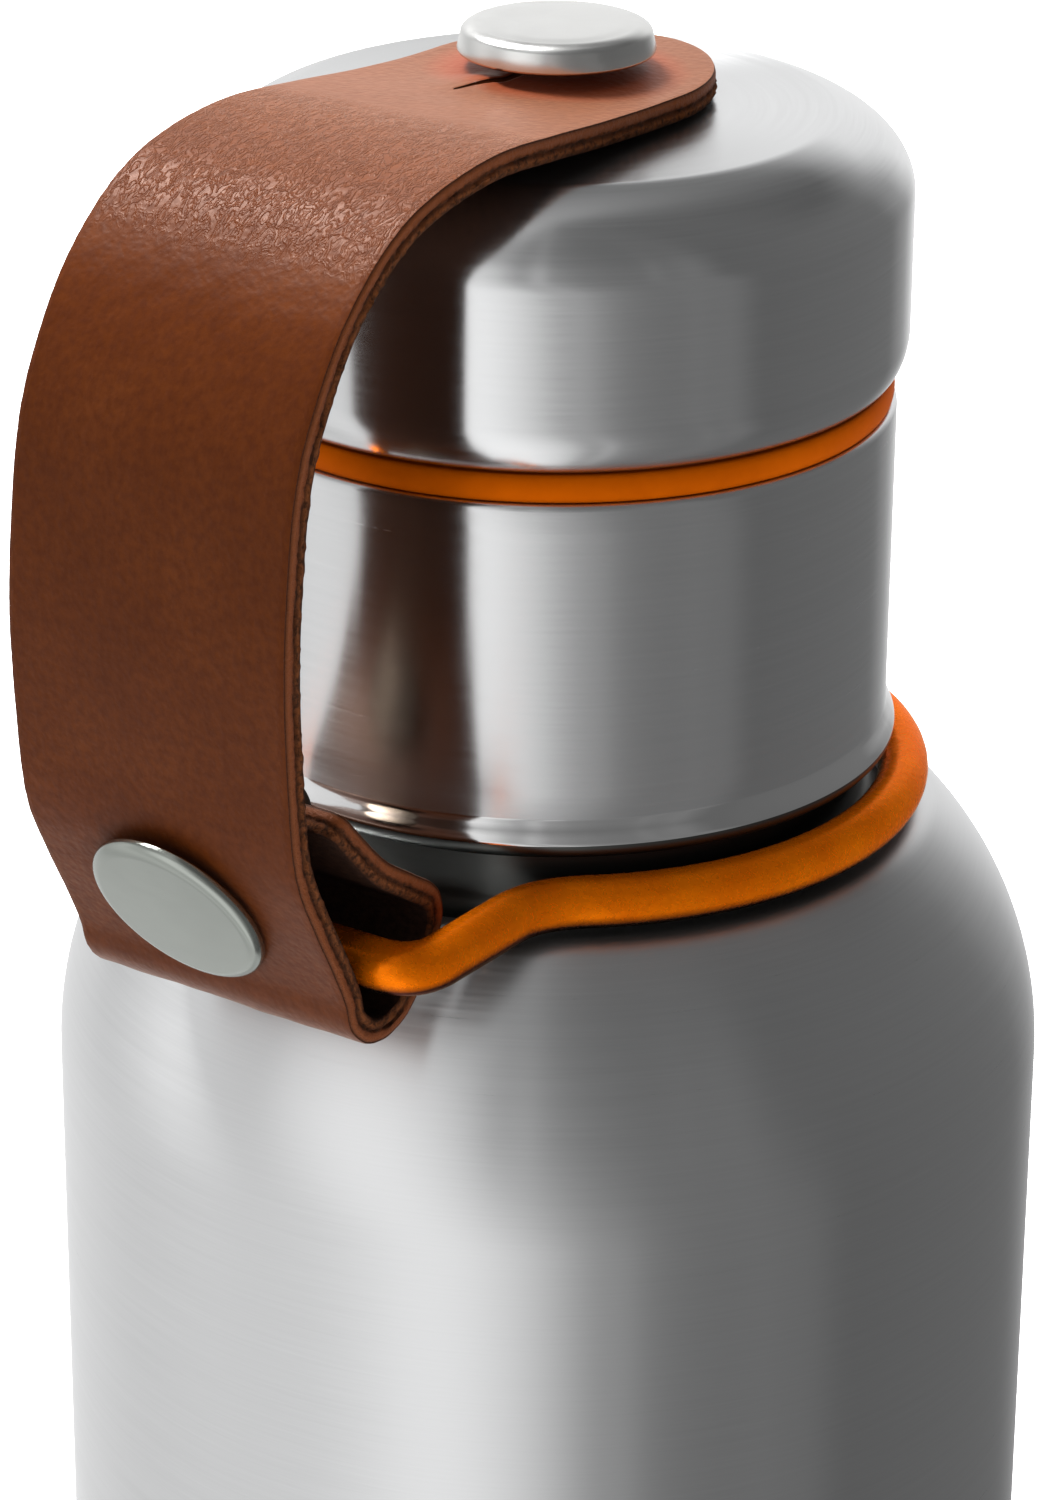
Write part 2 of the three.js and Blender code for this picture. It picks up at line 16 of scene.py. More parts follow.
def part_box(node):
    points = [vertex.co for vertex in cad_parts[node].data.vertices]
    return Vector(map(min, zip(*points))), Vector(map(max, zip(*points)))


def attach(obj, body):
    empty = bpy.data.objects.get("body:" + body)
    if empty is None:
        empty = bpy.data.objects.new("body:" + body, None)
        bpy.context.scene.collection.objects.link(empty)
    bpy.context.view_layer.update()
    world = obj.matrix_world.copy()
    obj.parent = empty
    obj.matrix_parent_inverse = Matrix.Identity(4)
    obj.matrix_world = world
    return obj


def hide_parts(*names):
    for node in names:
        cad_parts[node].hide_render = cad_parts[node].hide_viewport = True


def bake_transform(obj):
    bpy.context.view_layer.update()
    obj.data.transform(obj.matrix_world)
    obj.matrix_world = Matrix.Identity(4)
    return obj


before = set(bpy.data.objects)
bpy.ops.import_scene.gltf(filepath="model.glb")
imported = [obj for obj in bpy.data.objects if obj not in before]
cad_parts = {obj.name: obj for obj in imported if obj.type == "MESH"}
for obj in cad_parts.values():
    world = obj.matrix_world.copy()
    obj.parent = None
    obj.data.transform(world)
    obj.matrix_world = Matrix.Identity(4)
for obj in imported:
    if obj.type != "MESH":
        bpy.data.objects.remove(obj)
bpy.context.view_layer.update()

MM = 0.001


def box_mm(node):
    """Lowest and highest corner of a CAD node, in millimetres."""
    low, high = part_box(node)
    return low / MM, high / MM


# Sizes that the CAD boxes give
SHELL_LOW, SHELL_HIGH = box_mm("outer_shell")
COLLAR_LOW, COLLAR_HIGH = box_mm("neck_collar")
CAP_LOW, CAP_HIGH = box_mm("cap_shell")
GASKET_HIGH = box_mm("seal_gasket")[1]
STUD_LOW, STUD_HIGH = box_mm("strap_stud")
RING_LOW, RING_HIGH = box_mm("tether_ring")

SHELL_R = SHELL_HIGH.x
NECK_TOP = COLLAR_HIGH.z
CAP_R = CAP_HIGH.x
STUD_R = STUD_HIGH.x
ROD_R = (RING_HIGH.z - RING_LOW.z) / 2
RING_Z = (RING_HIGH.z + RING_LOW.z) / 2
STRAP_HALF = box_mm("strap")[1].x

# Sizes inside those boxes, the same as the CAD's
WALL = 0.6
SHOULDER_START = 162.3
SHOULDER_R = 26.8
CROWN_R = 3.0
FOOT_R = 4.0
ROOT_R = 22.9
ROOT_FILLET = 1.6
COLLAR_R = 24.5
CAP_WALL = 0.8
CAP_CROWN = 0.2
RIM_IN = 1.73  # the cap's lower edge curls in by this much
RIM_UP = 3.34  # and over this height
STRAP_THICK = 1.8
STRAP_END_HALF = 10.5  # half the strap's width at the stud
STRAP_END_REACH = 12.2  # from the stud to the strap's rounded end
POST_R = 3.2
SPIGOT_R = POST_R * 0.75  # the part of the post that goes through the lid
HEAD_LOW = 237.7  # underside of the stud's head
RIVET_R = 6.7
RIVET_FACE = (43.35, 188.65)
RIVET_TILT = math.radians(29.5)
RIVET_REACH = 10.3  # from the rivet's face to its inner half
PIN_R = 1.02
PIN_END = 1.5 - RIVET_REACH
RING_R = 25.9
BAR_S = 36.2
BAR_HALF = 14.0

# Middle line of the leather in the plane x = 0: distance from the axis towards -Y, and height
HANDLE_ROUTE = [
    (-12, 235.25), (1, 235.32), (8.6, 235.75), (15.9, 236.4), (22.9, 236.8), (29.5, 236.0),
    (34.5, 234.1), (38.9, 230.5), (41.9, 226.3), (44.1, 221.5), (45.2, 215.6), (45.8, 208),
    (45.4, 199.6), (44.7, 194.4), (42.95, 190.3), (40.95, 186.4), (39.55, 183.4),
    (39.0, 181.5), (37.6, 180.1), (35.6, 179.8), (33.6, 180.6),
    (31.6, 182.9), (30.2, 185.4), (30.6, 187.4), (33.1, 189.2), (36.2, 191.3), (38.9, 194.0),
    (41.2, 196.6),
]


CAMERA_AZIMUTH = math.radians(34.5)  # how far the view is turned from the handle's side


# --- Camera


def add_camera():
    """A long lens well above the lid, looking down."""
    yaw, tilt, roll = -0.0066, 0.4058, 0.0066
    distance, height = 347.30, 333.94
    lens, sensor_width = 123.35, 36
    forward = Vector((math.sin(yaw) * math.cos(tilt), math.cos(yaw) * math.cos(tilt), -math.sin(tilt)))
    level = Vector((math.cos(yaw), -math.sin(yaw), 0))
    lifted = level.cross(forward)
    right = level * math.cos(roll) + lifted * math.sin(roll)
    up = right.cross(forward)
    turn = Matrix.Rotation(CAMERA_AZIMUTH, 3, "Z")
    axes = Matrix((turn @ right, turn @ up, turn @ -forward)).transposed()
    data = bpy.data.cameras.new("camera")
    data.sensor_width = sensor_width
    data.lens = lens
    camera = bpy.data.objects.new("camera", data)
    bpy.context.scene.collection.objects.link(camera)
    sideways, back = distance * math.sin(CAMERA_AZIMUTH), distance * math.cos(CAMERA_AZIMUTH)
    place = Vector((sideways, -back, height)) * MM
    camera.matrix_world = Matrix.Translation(place) @ axes.to_4x4()
    data.clip_start = 0.01
    data.clip_end = 20
    bpy.context.scene.camera = camera


# --- Mesh helpers


def arc(cx, cy, rx, start, end, steps, ry=None):
    """Points of a circular or elliptical arc, angles in degrees."""
    ry = rx if ry is None else ry
    angles = np.radians(np.linspace(start, end, steps + 1))
    return [(cx + rx * math.cos(a), cy + ry * math.sin(a)) for a in angles]


def line(start, end, steps):
    """Points between two ends, without the first."""
    t = np.linspace(0, 1, steps + 1)[1:]
    return [(start[0] + (end[0] - start[0]) * k, start[1] + (end[1] - start[1]) * k) for k in t]


def make_object(name, verts, faces, materials, sharp=32):
    """A smooth-shaded object from points in millimetres, with edges over sharp degrees kept crisp."""
    mesh = bpy.data.meshes.new(name)
    mesh.from_pydata([tuple(c * MM for c in v) for v in verts], [], faces)
    mesh.validate()
    mesh.update()
    mesh.shade_smooth()
    mesh.set_sharp_from_angle(angle=math.radians(sharp))
    for material in materials:
        mesh.materials.append(material)
    piece = bpy.data.objects.new(name, mesh)
    bpy.context.scene.collection.objects.link(piece)
    return piece


def revolve(name, profile, material, steps=160, transform=None, sharp=32):
    """A solid of revolution about Z from (radius, height) points, anticlockwise."""
    on_axis = [r < 1e-6 for r, _ in profile]
    closed = not (on_axis[0] and on_axis[-1])
    verts, rings = [], []
    for (r, z), single in zip(profile, on_axis):
        count = 1 if single else steps
        rings.append(list(range(len(verts), len(verts) + count)))
        for i in range(count):
            a = 2 * math.pi * i / steps
            verts.append((r * math.cos(a), r * math.sin(a), z))
    faces = []
    pairs = list(zip(rings, rings[1:]))
    if closed:
        pairs.append((rings[-1], rings[0]))
    for low, high in pairs:
        if len(low) == len(high) == 1:
            continue
        for i in range(steps):
            j = (i + 1) % steps
            if len(low) == 1:
                faces.append((low[0], high[j], high[i]))
            elif len(high) == 1:
                faces.append((low[i], low[j], high[0]))
            else:
                faces.append((low[i], low[j], high[j], high[i]))
    if transform is not None:
        verts = [transform @ Vector(v) for v in verts]
    return make_object(name, verts, faces, [material], sharp)


def tube(name, centres, radius, material, sides=28):
    """A round tube along a closed, level loop of points."""
    count = len(centres)
    verts, faces = [], []
    for i, centre in enumerate(centres):
        ahead, behind = centres[(i + 1) % count], centres[i - 1]
        along = (ahead - behind).normalized()
        side = Vector((along.y, -along.x, 0))
        for k in range(sides):
            a = 2 * math.pi * k / sides
            verts.append(centre + side * radius * math.cos(a) + Vector((0, 0, radius * math.sin(a))))
    for i in range(count):
        for k in range(sides):
            a, b = i * sides + k, (i + 1) % count * sides + k
            c, d = (i + 1) % count * sides + (k + 1) % sides, i * sides + (k + 1) % sides
            faces.append((a, b, c, d))
    return make_object(name, verts, faces, [material], 180)


# --- Materials


NOISE_LOW, NOISE_HIGH = 0.3, 0.7  # nearly all of a noise lies between these


class Nodes:
    """A few short ways to add nodes to a tree."""

    def __init__(self, tree):
        self.tree = tree

    def node(self, kind, **settings):
        made = self.tree.nodes.new(kind)
        for key, value in settings.items():
            setattr(made, key, value)
        return made

    def link(self, source, target):
        self.tree.links.new(source, target)

    def feed(self, slot, value):
        """Sets an input to a number, a colour or a vector, or links it to another node's output."""
        if isinstance(value, bpy.types.NodeSocket):
            self.link(value, slot)
        elif slot.type == "RGBA":
            slot.default_value = (*value, 1)
        elif value is not None:
            slot.default_value = value

    def outputs(self, kind, inputs, **settings):
        """Outputs of a new node, whose inputs are given by name or number."""
        made = self.node(kind, **settings)
        for key, value in inputs.items():
            self.feed(made.inputs[key], value)
        return made.outputs

    def coordinates(self, scale=(1, 1, 1)):
        """Object coordinates in metres, times a scale for each axis."""
        where = self.node("ShaderNodeTexCoord").outputs["Object"]
        return self.outputs("ShaderNodeMapping", {"Vector": where, "Scale": scale})["Vector"]

    def sheet(self, scale=(1, 1, 1)):
        """Place on the flat leather in metres, across and along, times a scale for each."""
        where = self.node("ShaderNodeAttribute", attribute_name="flat").outputs["Vector"]
        return self.outputs("ShaderNodeMapping", {"Vector": where, "Scale": scale})["Vector"]

    def parts(self, vector):
        """The x, y and z of a vector."""
        return self.outputs("ShaderNodeSeparateXYZ", {"Vector": vector})

    def noise(self, vector, scale, detail=3.0, roughness=0.5, distortion=0.0):
        looks = {"Scale": scale, "Detail": detail, "Roughness": roughness, "Distortion": distortion}
        return self.outputs("ShaderNodeTexNoise", {"Vector": vector, **looks})["Fac"]

    def cells(self, vector, scale, smooth=False):
        """Distance to the nearest of many scattered points."""
        inputs = {"Vector": vector, "Scale": scale}
        feature = "SMOOTH_F1" if smooth else "F1"
        return self.outputs("ShaderNodeTexVoronoi", inputs, feature=feature)["Distance"]

    def spread(self, source, low, high, new_low, new_high):
        """Maps a range of values to another, clamped."""
        limits = {"From Min": low, "From Max": high, "To Min": new_low, "To Max": new_high}
        return self.outputs("ShaderNodeMapRange", {"Value": source, **limits})["Result"]

    def vary(self, source, low, high):
        """A value between two, by a noise."""
        return self.spread(source, NOISE_LOW, NOISE_HIGH, low, high)

    def math(self, operation, a, b=0):
        return self.outputs("ShaderNodeMath", {0: a, 1: b}, operation=operation)[0]

    def vectors(self, operation, a, b=None):
        """Vector arithmetic; returns the node's outputs, Vector and Value."""
        return self.outputs("ShaderNodeVectorMath", {0: a, 1: b}, operation=operation)

    def ramp(self, source, stops):
        """A colour ramp from (place, (r, g, b)) pairs."""
        made = self.node("ShaderNodeValToRGB")
        points = made.color_ramp.elements
        while len(points) < len(stops):
            points.new(0.5)
        for point, (place, colour) in zip(points, stops):
            point.position = place
            point.color = (*colour, 1)
        self.link(source, made.inputs["Fac"])
        return made.outputs["Color"]

    def shades(self, source, dark, light):
        """A colour between two, by a noise."""
        return self.ramp(source, [(NOISE_LOW, dark), (NOISE_HIGH, light)])

    def blend(self, factor, a, b):
        """Colour a where the factor is 0 and colour b where it is 1."""
        return self.outputs("ShaderNodeMix", {0: factor, 6: a, 7: b}, data_type="RGBA")[2]

    def bump(self, height, strength, distance_mm, under=None):
        depths = {"Strength": strength, "Distance": distance_mm * MM}
        return self.outputs("ShaderNodeBump", {"Height": height, "Normal": under, **depths})["Normal"]

    def attribute(self, name):
        return self.node("ShaderNodeAttribute", attribute_name=name).outputs["Fac"]


class Material(Nodes):
    """A new material built round one Principled shader."""

    def __init__(self, name):
        self.material = bpy.data.materials.new(name)
        self.material.use_nodes = True
        super().__init__(self.material.node_tree)
        self.shader = self.tree.nodes["Principled BSDF"]

    def finish(self, **values):
        """Feeds the shader's inputs, named as the sockets with _ for a space."""
        for key, value in values.items():
            self.feed(self.shader.inputs[key.replace("_", " ")], value)
        return self.material


def lathe_coordinates(make):
    """A vector whose third part runs along a turned piece's profile, for rings of brushing."""
    round_scale, along_scale = 22, 1000
    x, y, z = make.parts(make.node("ShaderNodeTexCoord").outputs["Object"])
    squares = make.math("ADD", make.math("MULTIPLY", x, x), make.math("MULTIPLY", y, y))
    along = make.math("SUBTRACT", z, make.math("SQRT", squares))
    joined = make.outputs("ShaderNodeCombineXYZ", {"X": x, "Y": y, "Z": along})["Vector"]
    return make.vectors("MULTIPLY", joined, (round_scale, round_scale, along_scale))["Vector"]


def brushed_steel(name, colour, roughness, brush=1.0, anisotropy=0.9):
    """Steel brushed round its axis: fine rings in roughness, tone and bump."""
    make = Material(name)
    rings = lathe_coordinates(make)
    fine = make.noise(rings, 2.6, 5, 0.8)
    broad = make.noise(rings, 0.5, 3, 0.6)
    fine_share = 0.82
    both = make.math(
        "ADD", make.math("MULTIPLY", fine, fine_share), make.math("MULTIPLY", broad, 1 - fine_share)
    )
    light = tuple(min(1, c * 1.04) for c in colour)
    dark = tuple(c * 0.955 for c in colour)
    tone = make.shades(both, dark, light)
    tangent = make.node("ShaderNodeTangent", direction_type="RADIAL", axis="Z")
    return make.finish(
        Base_Color=tone,
        Metallic=1.0,
        Roughness=make.vary(both, roughness - 0.03 * brush, roughness + 0.04 * brush),
        Anisotropic=anisotropy,
        Anisotropic_Rotation=0.25,
        Tangent=tangent.outputs[0],
        Normal=make.bump(fine, 0.07 * brush, 0.015),
    )


def polished_steel(name, colour, roughness, ripple):
    """Steel polished by hand, with faint scratches and slow ripples."""
    make = Material(name)
    scratches = make.noise(make.coordinates((500, 500, 1500)), 1.0, 3, 0.6)
    slow = make.noise(make.coordinates(), 160, 2, 0.5, 0.6)
    dark = tuple(c * 0.95 for c in colour)
    tone = make.shades(slow, dark, colour)
    return make.finish(
        Base_Color=tone,
        Metallic=1.0,
        Roughness=make.vary(scratches, roughness - 0.02, roughness + 0.03),
        Normal=make.bump(slow, 0.35, ripple),
    )


def leather_grain():
    """Oiled brown leather: fine pores, slow tone changes and short wrinkles where it bends outwards.

    It has a paler painted sheen on the lid, painted shade darkening it along the hand grip and behind the
    bar, and a redder painted shade under the stud, where the stud's head blocks the sheen.
    """
    make = Material("leather_grain")
    bend = make.attribute("bend")

    # Where each look fades in or out, in metres along the leather, and across for the painted shade round
    # the stud
    pale, wrinkled, grip, behind_bar_shade = (0.032, 0.047), (0.042, 0.051), (0.038, 0.060), (0.109, 0.113)
    stud_place = (0, 0.012, 0)
    stud_shade_patch = (0.0065, 0.0095)
    pores = make.cells(make.sheet((2300, 2300, 1)), 1.0, smooth=True)
    patches = make.noise(make.sheet((110, 110, 1)), 1.0, 4, 0.6)
    mottle = make.noise(make.sheet((1300, 1300, 1)), 1.0, 3, 0.6)
    fold = make.noise(make.sheet((1500, 720, 1)), 1.0, 2, 0.5, 1.5)
    crease = make.math("ABSOLUTE", make.math("SUBTRACT", fold, 0.5))
    along = make.parts(make.sheet())["Y"]
    upper = make.spread(along, *wrinkled, 1.0, 0.0)
    folded = make.math("MULTIPLY", make.spread(bend, 0.08, 0.35, 0.0, 1.0), upper)
    wrinkles = make.math("MULTIPLY", make.spread(crease, 0.0, 0.10, 1.0, 0.0), folded)
    browns = [(0.098, 0.0205, 0.0026), (0.112, 0.0240, 0.0032), (0.128, 0.0290, 0.0044)]
    colour = make.ramp(patches, list(zip((NOISE_LOW, 0.5, NOISE_HIGH), browns)))
    colour = make.blend(make.spread(mottle, 0.35, 0.65, 0.0, 0.5), colour, (0.060, 0.010, 0.002))
    # painted shade: darker down the hand grip, away from the light above
    colour = make.blend(make.spread(along, *grip, 0.0, 0.28), colour, (0.004, 0.0015, 0.0))
    # painted sheen: paler tan on the lid, where the leather's sheen is brightest
    colour = make.blend(make.spread(along, *pale, 0.18, 0.0), colour, (0.38, 0.20, 0.125))
    # painted shade: near black behind the bar, inside the loop
    colour = make.blend(make.spread(along, *behind_bar_shade, 0.0, 0.8), colour, (0.006, 0.002, 0.001))
    # painted shade under the stud: redder and more saturated where its head blocks the sheen
    from_stud = make.vectors("DISTANCE", make.sheet(), stud_place)["Value"]
    under_stud_shade = make.spread(from_stud, *stud_shade_patch, 0.8, 0.0)
    colour = make.blend(under_stud_shade, colour, (0.22, 0.030, 0.006))
    normal = make.bump(make.math("ADD", pores, mottle), 0.28, 0.08)
    normal = make.bump(wrinkles, 0.6, 0.15, normal)
    return make.finish(
        Base_Color=colour,
        Roughness=make.vary(mottle, 0.36, 0.44),
        Specular_IOR_Level=0.11,
        Specular_Tint=(1.0, 0.56, 0.36),
        Sheen_Weight=0.30,
        Sheen_Roughness=0.32,
        Sheen_Tint=(1.0, 0.70, 0.55),
        Normal=normal,
    )


def leather_flesh():
    """The rough back of the leather."""
    make = Material("leather_flesh")
    nap = make.noise(make.sheet((1500, 1500, 1)), 1.0, 5, 0.7)
    colour = make.shades(nap, (0.013, 0.005, 0.003), (0.036, 0.015, 0.008))
    return make.finish(
        Base_Color=colour,
        Roughness=0.9,
        Specular_IOR_Level=0.1,
        Normal=make.bump(nap, 0.6, 0.25),
    )


def leather_edge():
    """The cut edge: a dark crease, a smooth band, then loose fibres with dark pits between."""
    make = Material("leather_edge")
    where = make.coordinates()
    depth = make.attribute("depth")
    drift = make.math("SUBTRACT", make.noise(where, 1100, 4, 0.7), 0.5)
    wander = make.math("MULTIPLY", drift, make.spread(depth, 0.1, 0.4, 0.0, 0.30))
    place = make.math("ADD", depth, wander)
    fibres = make.noise(where, 2200, 4, 0.75)
    layers = [
        (0.0, (0.170, 0.050, 0.018)), (0.06, (0.026, 0.006, 0.002)), (0.11, (0.125, 0.033, 0.009)),
        (0.22, (0.185, 0.048, 0.012)), (0.40, (0.140, 0.035, 0.009)), (0.50, (0.050, 0.014, 0.004)),
        (0.60, (0.065, 0.018, 0.005)), (0.72, (0.140, 0.041, 0.011)), (1.0, (0.050, 0.015, 0.005)),
    ]
    colour = make.ramp(place, layers)
    loose = make.spread(place, 0.4, 0.55, 0.10, 1)
    pits = make.math("MULTIPLY", make.spread(fibres, 0.45, 0.62, 0.0, 0.85), loose)
    colour = make.blend(pits, colour, (0.014, 0.005, 0.002))
    return make.finish(
        Base_Color=colour,
        Roughness=make.spread(place, 0.3, 0.5, 0.55, 0.9),
        Specular_IOR_Level=0.2,
        Specular_Tint=(1.0, 0.8, 0.65),
        Normal=make.bump(fibres, 0.6, 0.3),
    )


def orange_rubber():
    """Silicone with a soft gloss."""
    make = Material("orange_silicone")
    where = make.coordinates()
    cloud = make.noise(where, 260, 3, 0.6)
    grain = make.noise(where, 2600, 2, 0.5)
    colour = make.shades(cloud, (0.50, 0.088, 0.0004), (0.60, 0.110, 0.0006))
    return make.finish(
        Base_Color=colour,
        Metallic=0.35,
        Roughness=make.vary(cloud, 0.36, 0.46),
        Specular_IOR_Level=0.03,
        Specular_Tint=(1.0, 0.40, 0.05),
        Normal=make.bump(grain, 0.10, 0.03),
    )


def painted_shade_side(make):
    """Where the ring gets painted shade: 1 where it faces down or inwards, towards the neck, and 0
    elsewhere.
    """
    here = make.node("ShaderNodeTexCoord").outputs
    level = make.vectors("MULTIPLY", here["Object"], (1, 1, 0))["Vector"]
    outward = make.vectors("NORMALIZE", level)["Vector"]
    outwards = make.vectors("DOT_PRODUCT", here["Normal"], outward)["Value"]
    upwards = make.parts(here["Normal"])["Z"]
    seen = make.math("ADD", upwards, make.math("MULTIPLY", outwards, 0.7))
    inward = make.spread(seen, -0.10, 0.30, 1.0, 0.0)
    down = make.spread(upwards, -0.65, -0.25, 1.0, 0.0)
    return make.math("MAXIMUM", inward, down)


def orange_coat():
    """Powder coat over wire: orange-peel grain that catches the light, and painted shade where it faces
    down or towards the neck.
    """
    make = Material("orange_powder_coat")
    where = make.coordinates()
    peel = make.noise(where, 1500, 3, 0.6)
    pits = make.cells(where, 2100, smooth=True)
    cloud = make.noise(where, 210, 3, 0.6)
    colour = make.shades(cloud, (0.84, 0.160, 0.0005), (0.98, 0.215, 0.001))
    colour = make.blend(make.spread(peel, 0.35, 0.5, 0.04, 0.0), colour, (0.40, 0.060, 0.0004))
    # painted shade: near black where the ring faces down or in towards the neck
    colour = make.blend(painted_shade_side(make), colour, (0.020, 0.012, 0.008))
    height = make.math("ADD", peel, make.math("MULTIPLY", pits, 0.6))
    return make.finish(
        Base_Color=colour,
        Metallic=0.62,
        Roughness=make.vary(peel, 0.20, 0.34),
        Specular_IOR_Level=0.05,
        Specular_Tint=(1.0, 0.45, 0.03),
        Coat_Weight=0.05,
        Coat_Roughness=0.16,
        Normal=make.bump(height, 0.20, 0.12),
    )


def moulded_plastic():
    """Dark plastic with a fine grain."""
    make = Material("stopper_plastic")
    where = make.coordinates()
    grain = make.noise(where, 2200, 3, 0.6)
    cloud = make.noise(where, 120, 2, 0.5)
    colour = make.shades(cloud, (0.020, 0.020, 0.022), (0.032, 0.032, 0.035))
    return make.finish(
        Base_Color=colour,
        Roughness=make.vary(grain, 0.38, 0.55),
        Normal=make.bump(grain, 0.2, 0.04),
    )


def foam():
    """Pale insulating foam with closed cells."""
    make = Material("closed_cell_foam")
    cells = make.cells(make.coordinates(), 1100)
    colour = make.ramp(cells, [(0.1, (0.55, 0.53, 0.45)), (0.6, (0.80, 0.78, 0.70))])
    return make.finish(Base_Color=colour, Roughness=0.95, Normal=make.bump(cells, 0.5, 0.3))


def sintered_metal():
    """Grey pressed powder."""
    make = Material("sintered_getter")
    grain = make.noise(make.coordinates(), 1600, 4, 0.7)
    colour = make.shades(grain, (0.10, 0.095, 0.085), (0.22, 0.21, 0.19))
    return make.finish(Base_Color=colour, Metallic=0.6, Roughness=0.7, Normal=make.bump(grain, 0.4, 0.1))


def fused_glass():
    """Greenish bead of melted glass."""
    make = Material("fused_seal")
    cloud = make.noise(make.coordinates(), 500, 3, 0.6)
    colour = make.shades(cloud, (0.10, 0.14, 0.12), (0.20, 0.26, 0.22))
    return make.finish(Base_Color=colour, Roughness=0.12, Normal=make.bump(cloud, 0.1, 0.1))


SHELL_STEEL = brushed_steel("shell_brushed_steel", (0.76, 0.765, 0.77), 0.30)
CAP_STEEL = brushed_steel("cap_brushed_steel", (0.78, 0.785, 0.79), 0.19)
COLLAR_STEEL = brushed_steel("collar_brushed_steel", (0.78, 0.785, 0.79), 0.24)
LIP_STEEL = polished_steel("collar_lip_steel", (0.90, 0.90, 0.90), 0.12, 0.10)
DRAWN_STEEL = brushed_steel("drawn_steel", (0.66, 0.67, 0.68), 0.34, 0.6, 0.4)
STUD_STEEL = polished_steel("stud_steel", (0.80, 0.80, 0.785), 0.24, 0.006)
RIVET_STEEL = polished_steel("rivet_steel", (0.405, 0.43, 0.395), 0.20, 0.01)
BACK_STEEL = polished_steel("rivet_back_steel", (0.10, 0.075, 0.055), 0.4, 0.01)
# painted shade: near black steel for the crevice round the neck's root and under the collar's roll
ROOT_SHADE_STEEL = brushed_steel("neck_root_painted_shade", (0.11, 0.115, 0.11), 0.35, 1.0, 0.4)
LEATHER = [leather_grain(), leather_flesh(), leather_edge()]


# --- Bottle body


def body_wall(inset, neck_r, top):
    """From the straight body over the shoulder and up the neck, set in by inset."""
    centre_r = SHELL_R - SHOULDER_R
    crown = (SHOULDER_R - CROWN_R) * math.sqrt(0.5)
    level = SHOULDER_START + crown + CROWN_R - inset
    fillet = ROOT_FILLET + inset
    return [
        *arc(centre_r, SHOULDER_START, SHOULDER_R - inset, 0, 45, 26),
        *arc(centre_r + crown, SHOULDER_START + crown, CROWN_R - inset, 45, 90, 8)[1:],
        *arc(neck_r + fillet, level + fillet, fillet, 270, 180, 8),
        *line((neck_r, level + fillet), (neck_r, top), 6),
    ]


def add_outer_shell():
    """The outside wall in one turned profile, with painted shade round the neck's root below the collar.
    """
    foot_r = SHELL_R - FOOT_R
    low = SHELL_LOW.z
    root_low = COLLAR_LOW.z - 5.2
    root_r = COLLAR_R + 0.3
    profile = [
        (foot_r - 1, low),
        *arc(foot_r, low + FOOT_R, FOOT_R, 270, 360, 14),
        *line((SHELL_R, low + FOOT_R), (SHELL_R, SHOULDER_START), 30)[:-1],
        *body_wall(0, ROOT_R, SHELL_HIGH.z),
        *reversed(body_wall(WALL, ROOT_R - WALL, SHELL_HIGH.z)),
        *arc(foot_r, low + FOOT_R, FOOT_R - WALL, 360, 270, 8),
        (foot_r - 1, low + WALL),
    ]
    shell = revolve("outer_shell_fine", profile, SHELL_STEEL, 256)
    shell.data.materials.append(ROOT_SHADE_STEEL)
    # faces round the neck's root, below the collar, get the painted shade
    for face in shell.data.polygons:
        middle = face.center / MM
        if middle.z > root_low and middle.xy.length < root_r:
            face.material_index = 1
    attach(shell, "bottle")
    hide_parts("outer_shell")


def add_neck_collar():
    """Straight sleeve whose lower edge flares to a rolled lip.

    The flare is polished, and the lower half of the roll has painted shade, like the neck's root.
    """
    low, lip_r = COLLAR_LOW.z, COLLAR_HIGH.x
    inner_r = ROOT_R + 0.35
    roll = 1.15
    corner = 0.45
    foot_r = COLLAR_R - 0.05
    flare_z = low + 2.9
    profile = [
        (inner_r, low + 1.0),
        (inner_r + 0.3, low + 0.4),
        *arc(lip_r - roll, low + roll, roll, 262, 376, 16),
        (lip_r - 0.17, low + 1.78),
        (lip_r - 0.36, low + 2.15),
        (foot_r + 0.1, low + 2.5),
        (foot_r, flare_z),
        *line((foot_r, flare_z), (COLLAR_R, NECK_TOP - corner), 12),
        *arc(COLLAR_R - corner, NECK_TOP - corner, corner, 0, 90, 6)[1:],
        (ROOT_R + 0.25, NECK_TOP),
        (inner_r, NECK_TOP - 1),
    ]
    collar = revolve("neck_collar_fine", profile, COLLAR_STEEL, 256, sharp=50)
    collar.data.materials.append(LIP_STEEL)
    collar.data.materials.append(ROOT_SHADE_STEEL)
    # the lower half of the roll gets the painted shade and the flare the polished steel
    for face in collar.data.polygons:
        z = face.center.z / MM
        if z < low + roll:
            face.material_index = 2
        elif z < flare_z:
            face.material_index = 1
    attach(collar, "bottle")
    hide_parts("neck_collar")


def add_base_cover():
    """Flat disc with a rounded edge and a rim that stands up inside the shell."""
    high = box_mm("base_cover")[1]
    cover_r = high.x
    thick = 0.9
    corner = 0.6
    rim_r = cover_r - 1
    profile = [
        (0, 0),
        *line((0, 0), (cover_r - corner, 0), 8),
        *arc(cover_r - corner, corner, corner, 270, 360, 5)[1:],
        (cover_r, thick),
        (rim_r, thick + 1),
        (rim_r, high.z),
        (rim_r - thick, high.z),
        (rim_r - thick, thick),
        (0, thick),
    ]
    cover = revolve("base_cover_fine", profile, SHELL_STEEL, 192)
    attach(cover, "bottle")
    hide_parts("base_cover")


# --- Cap


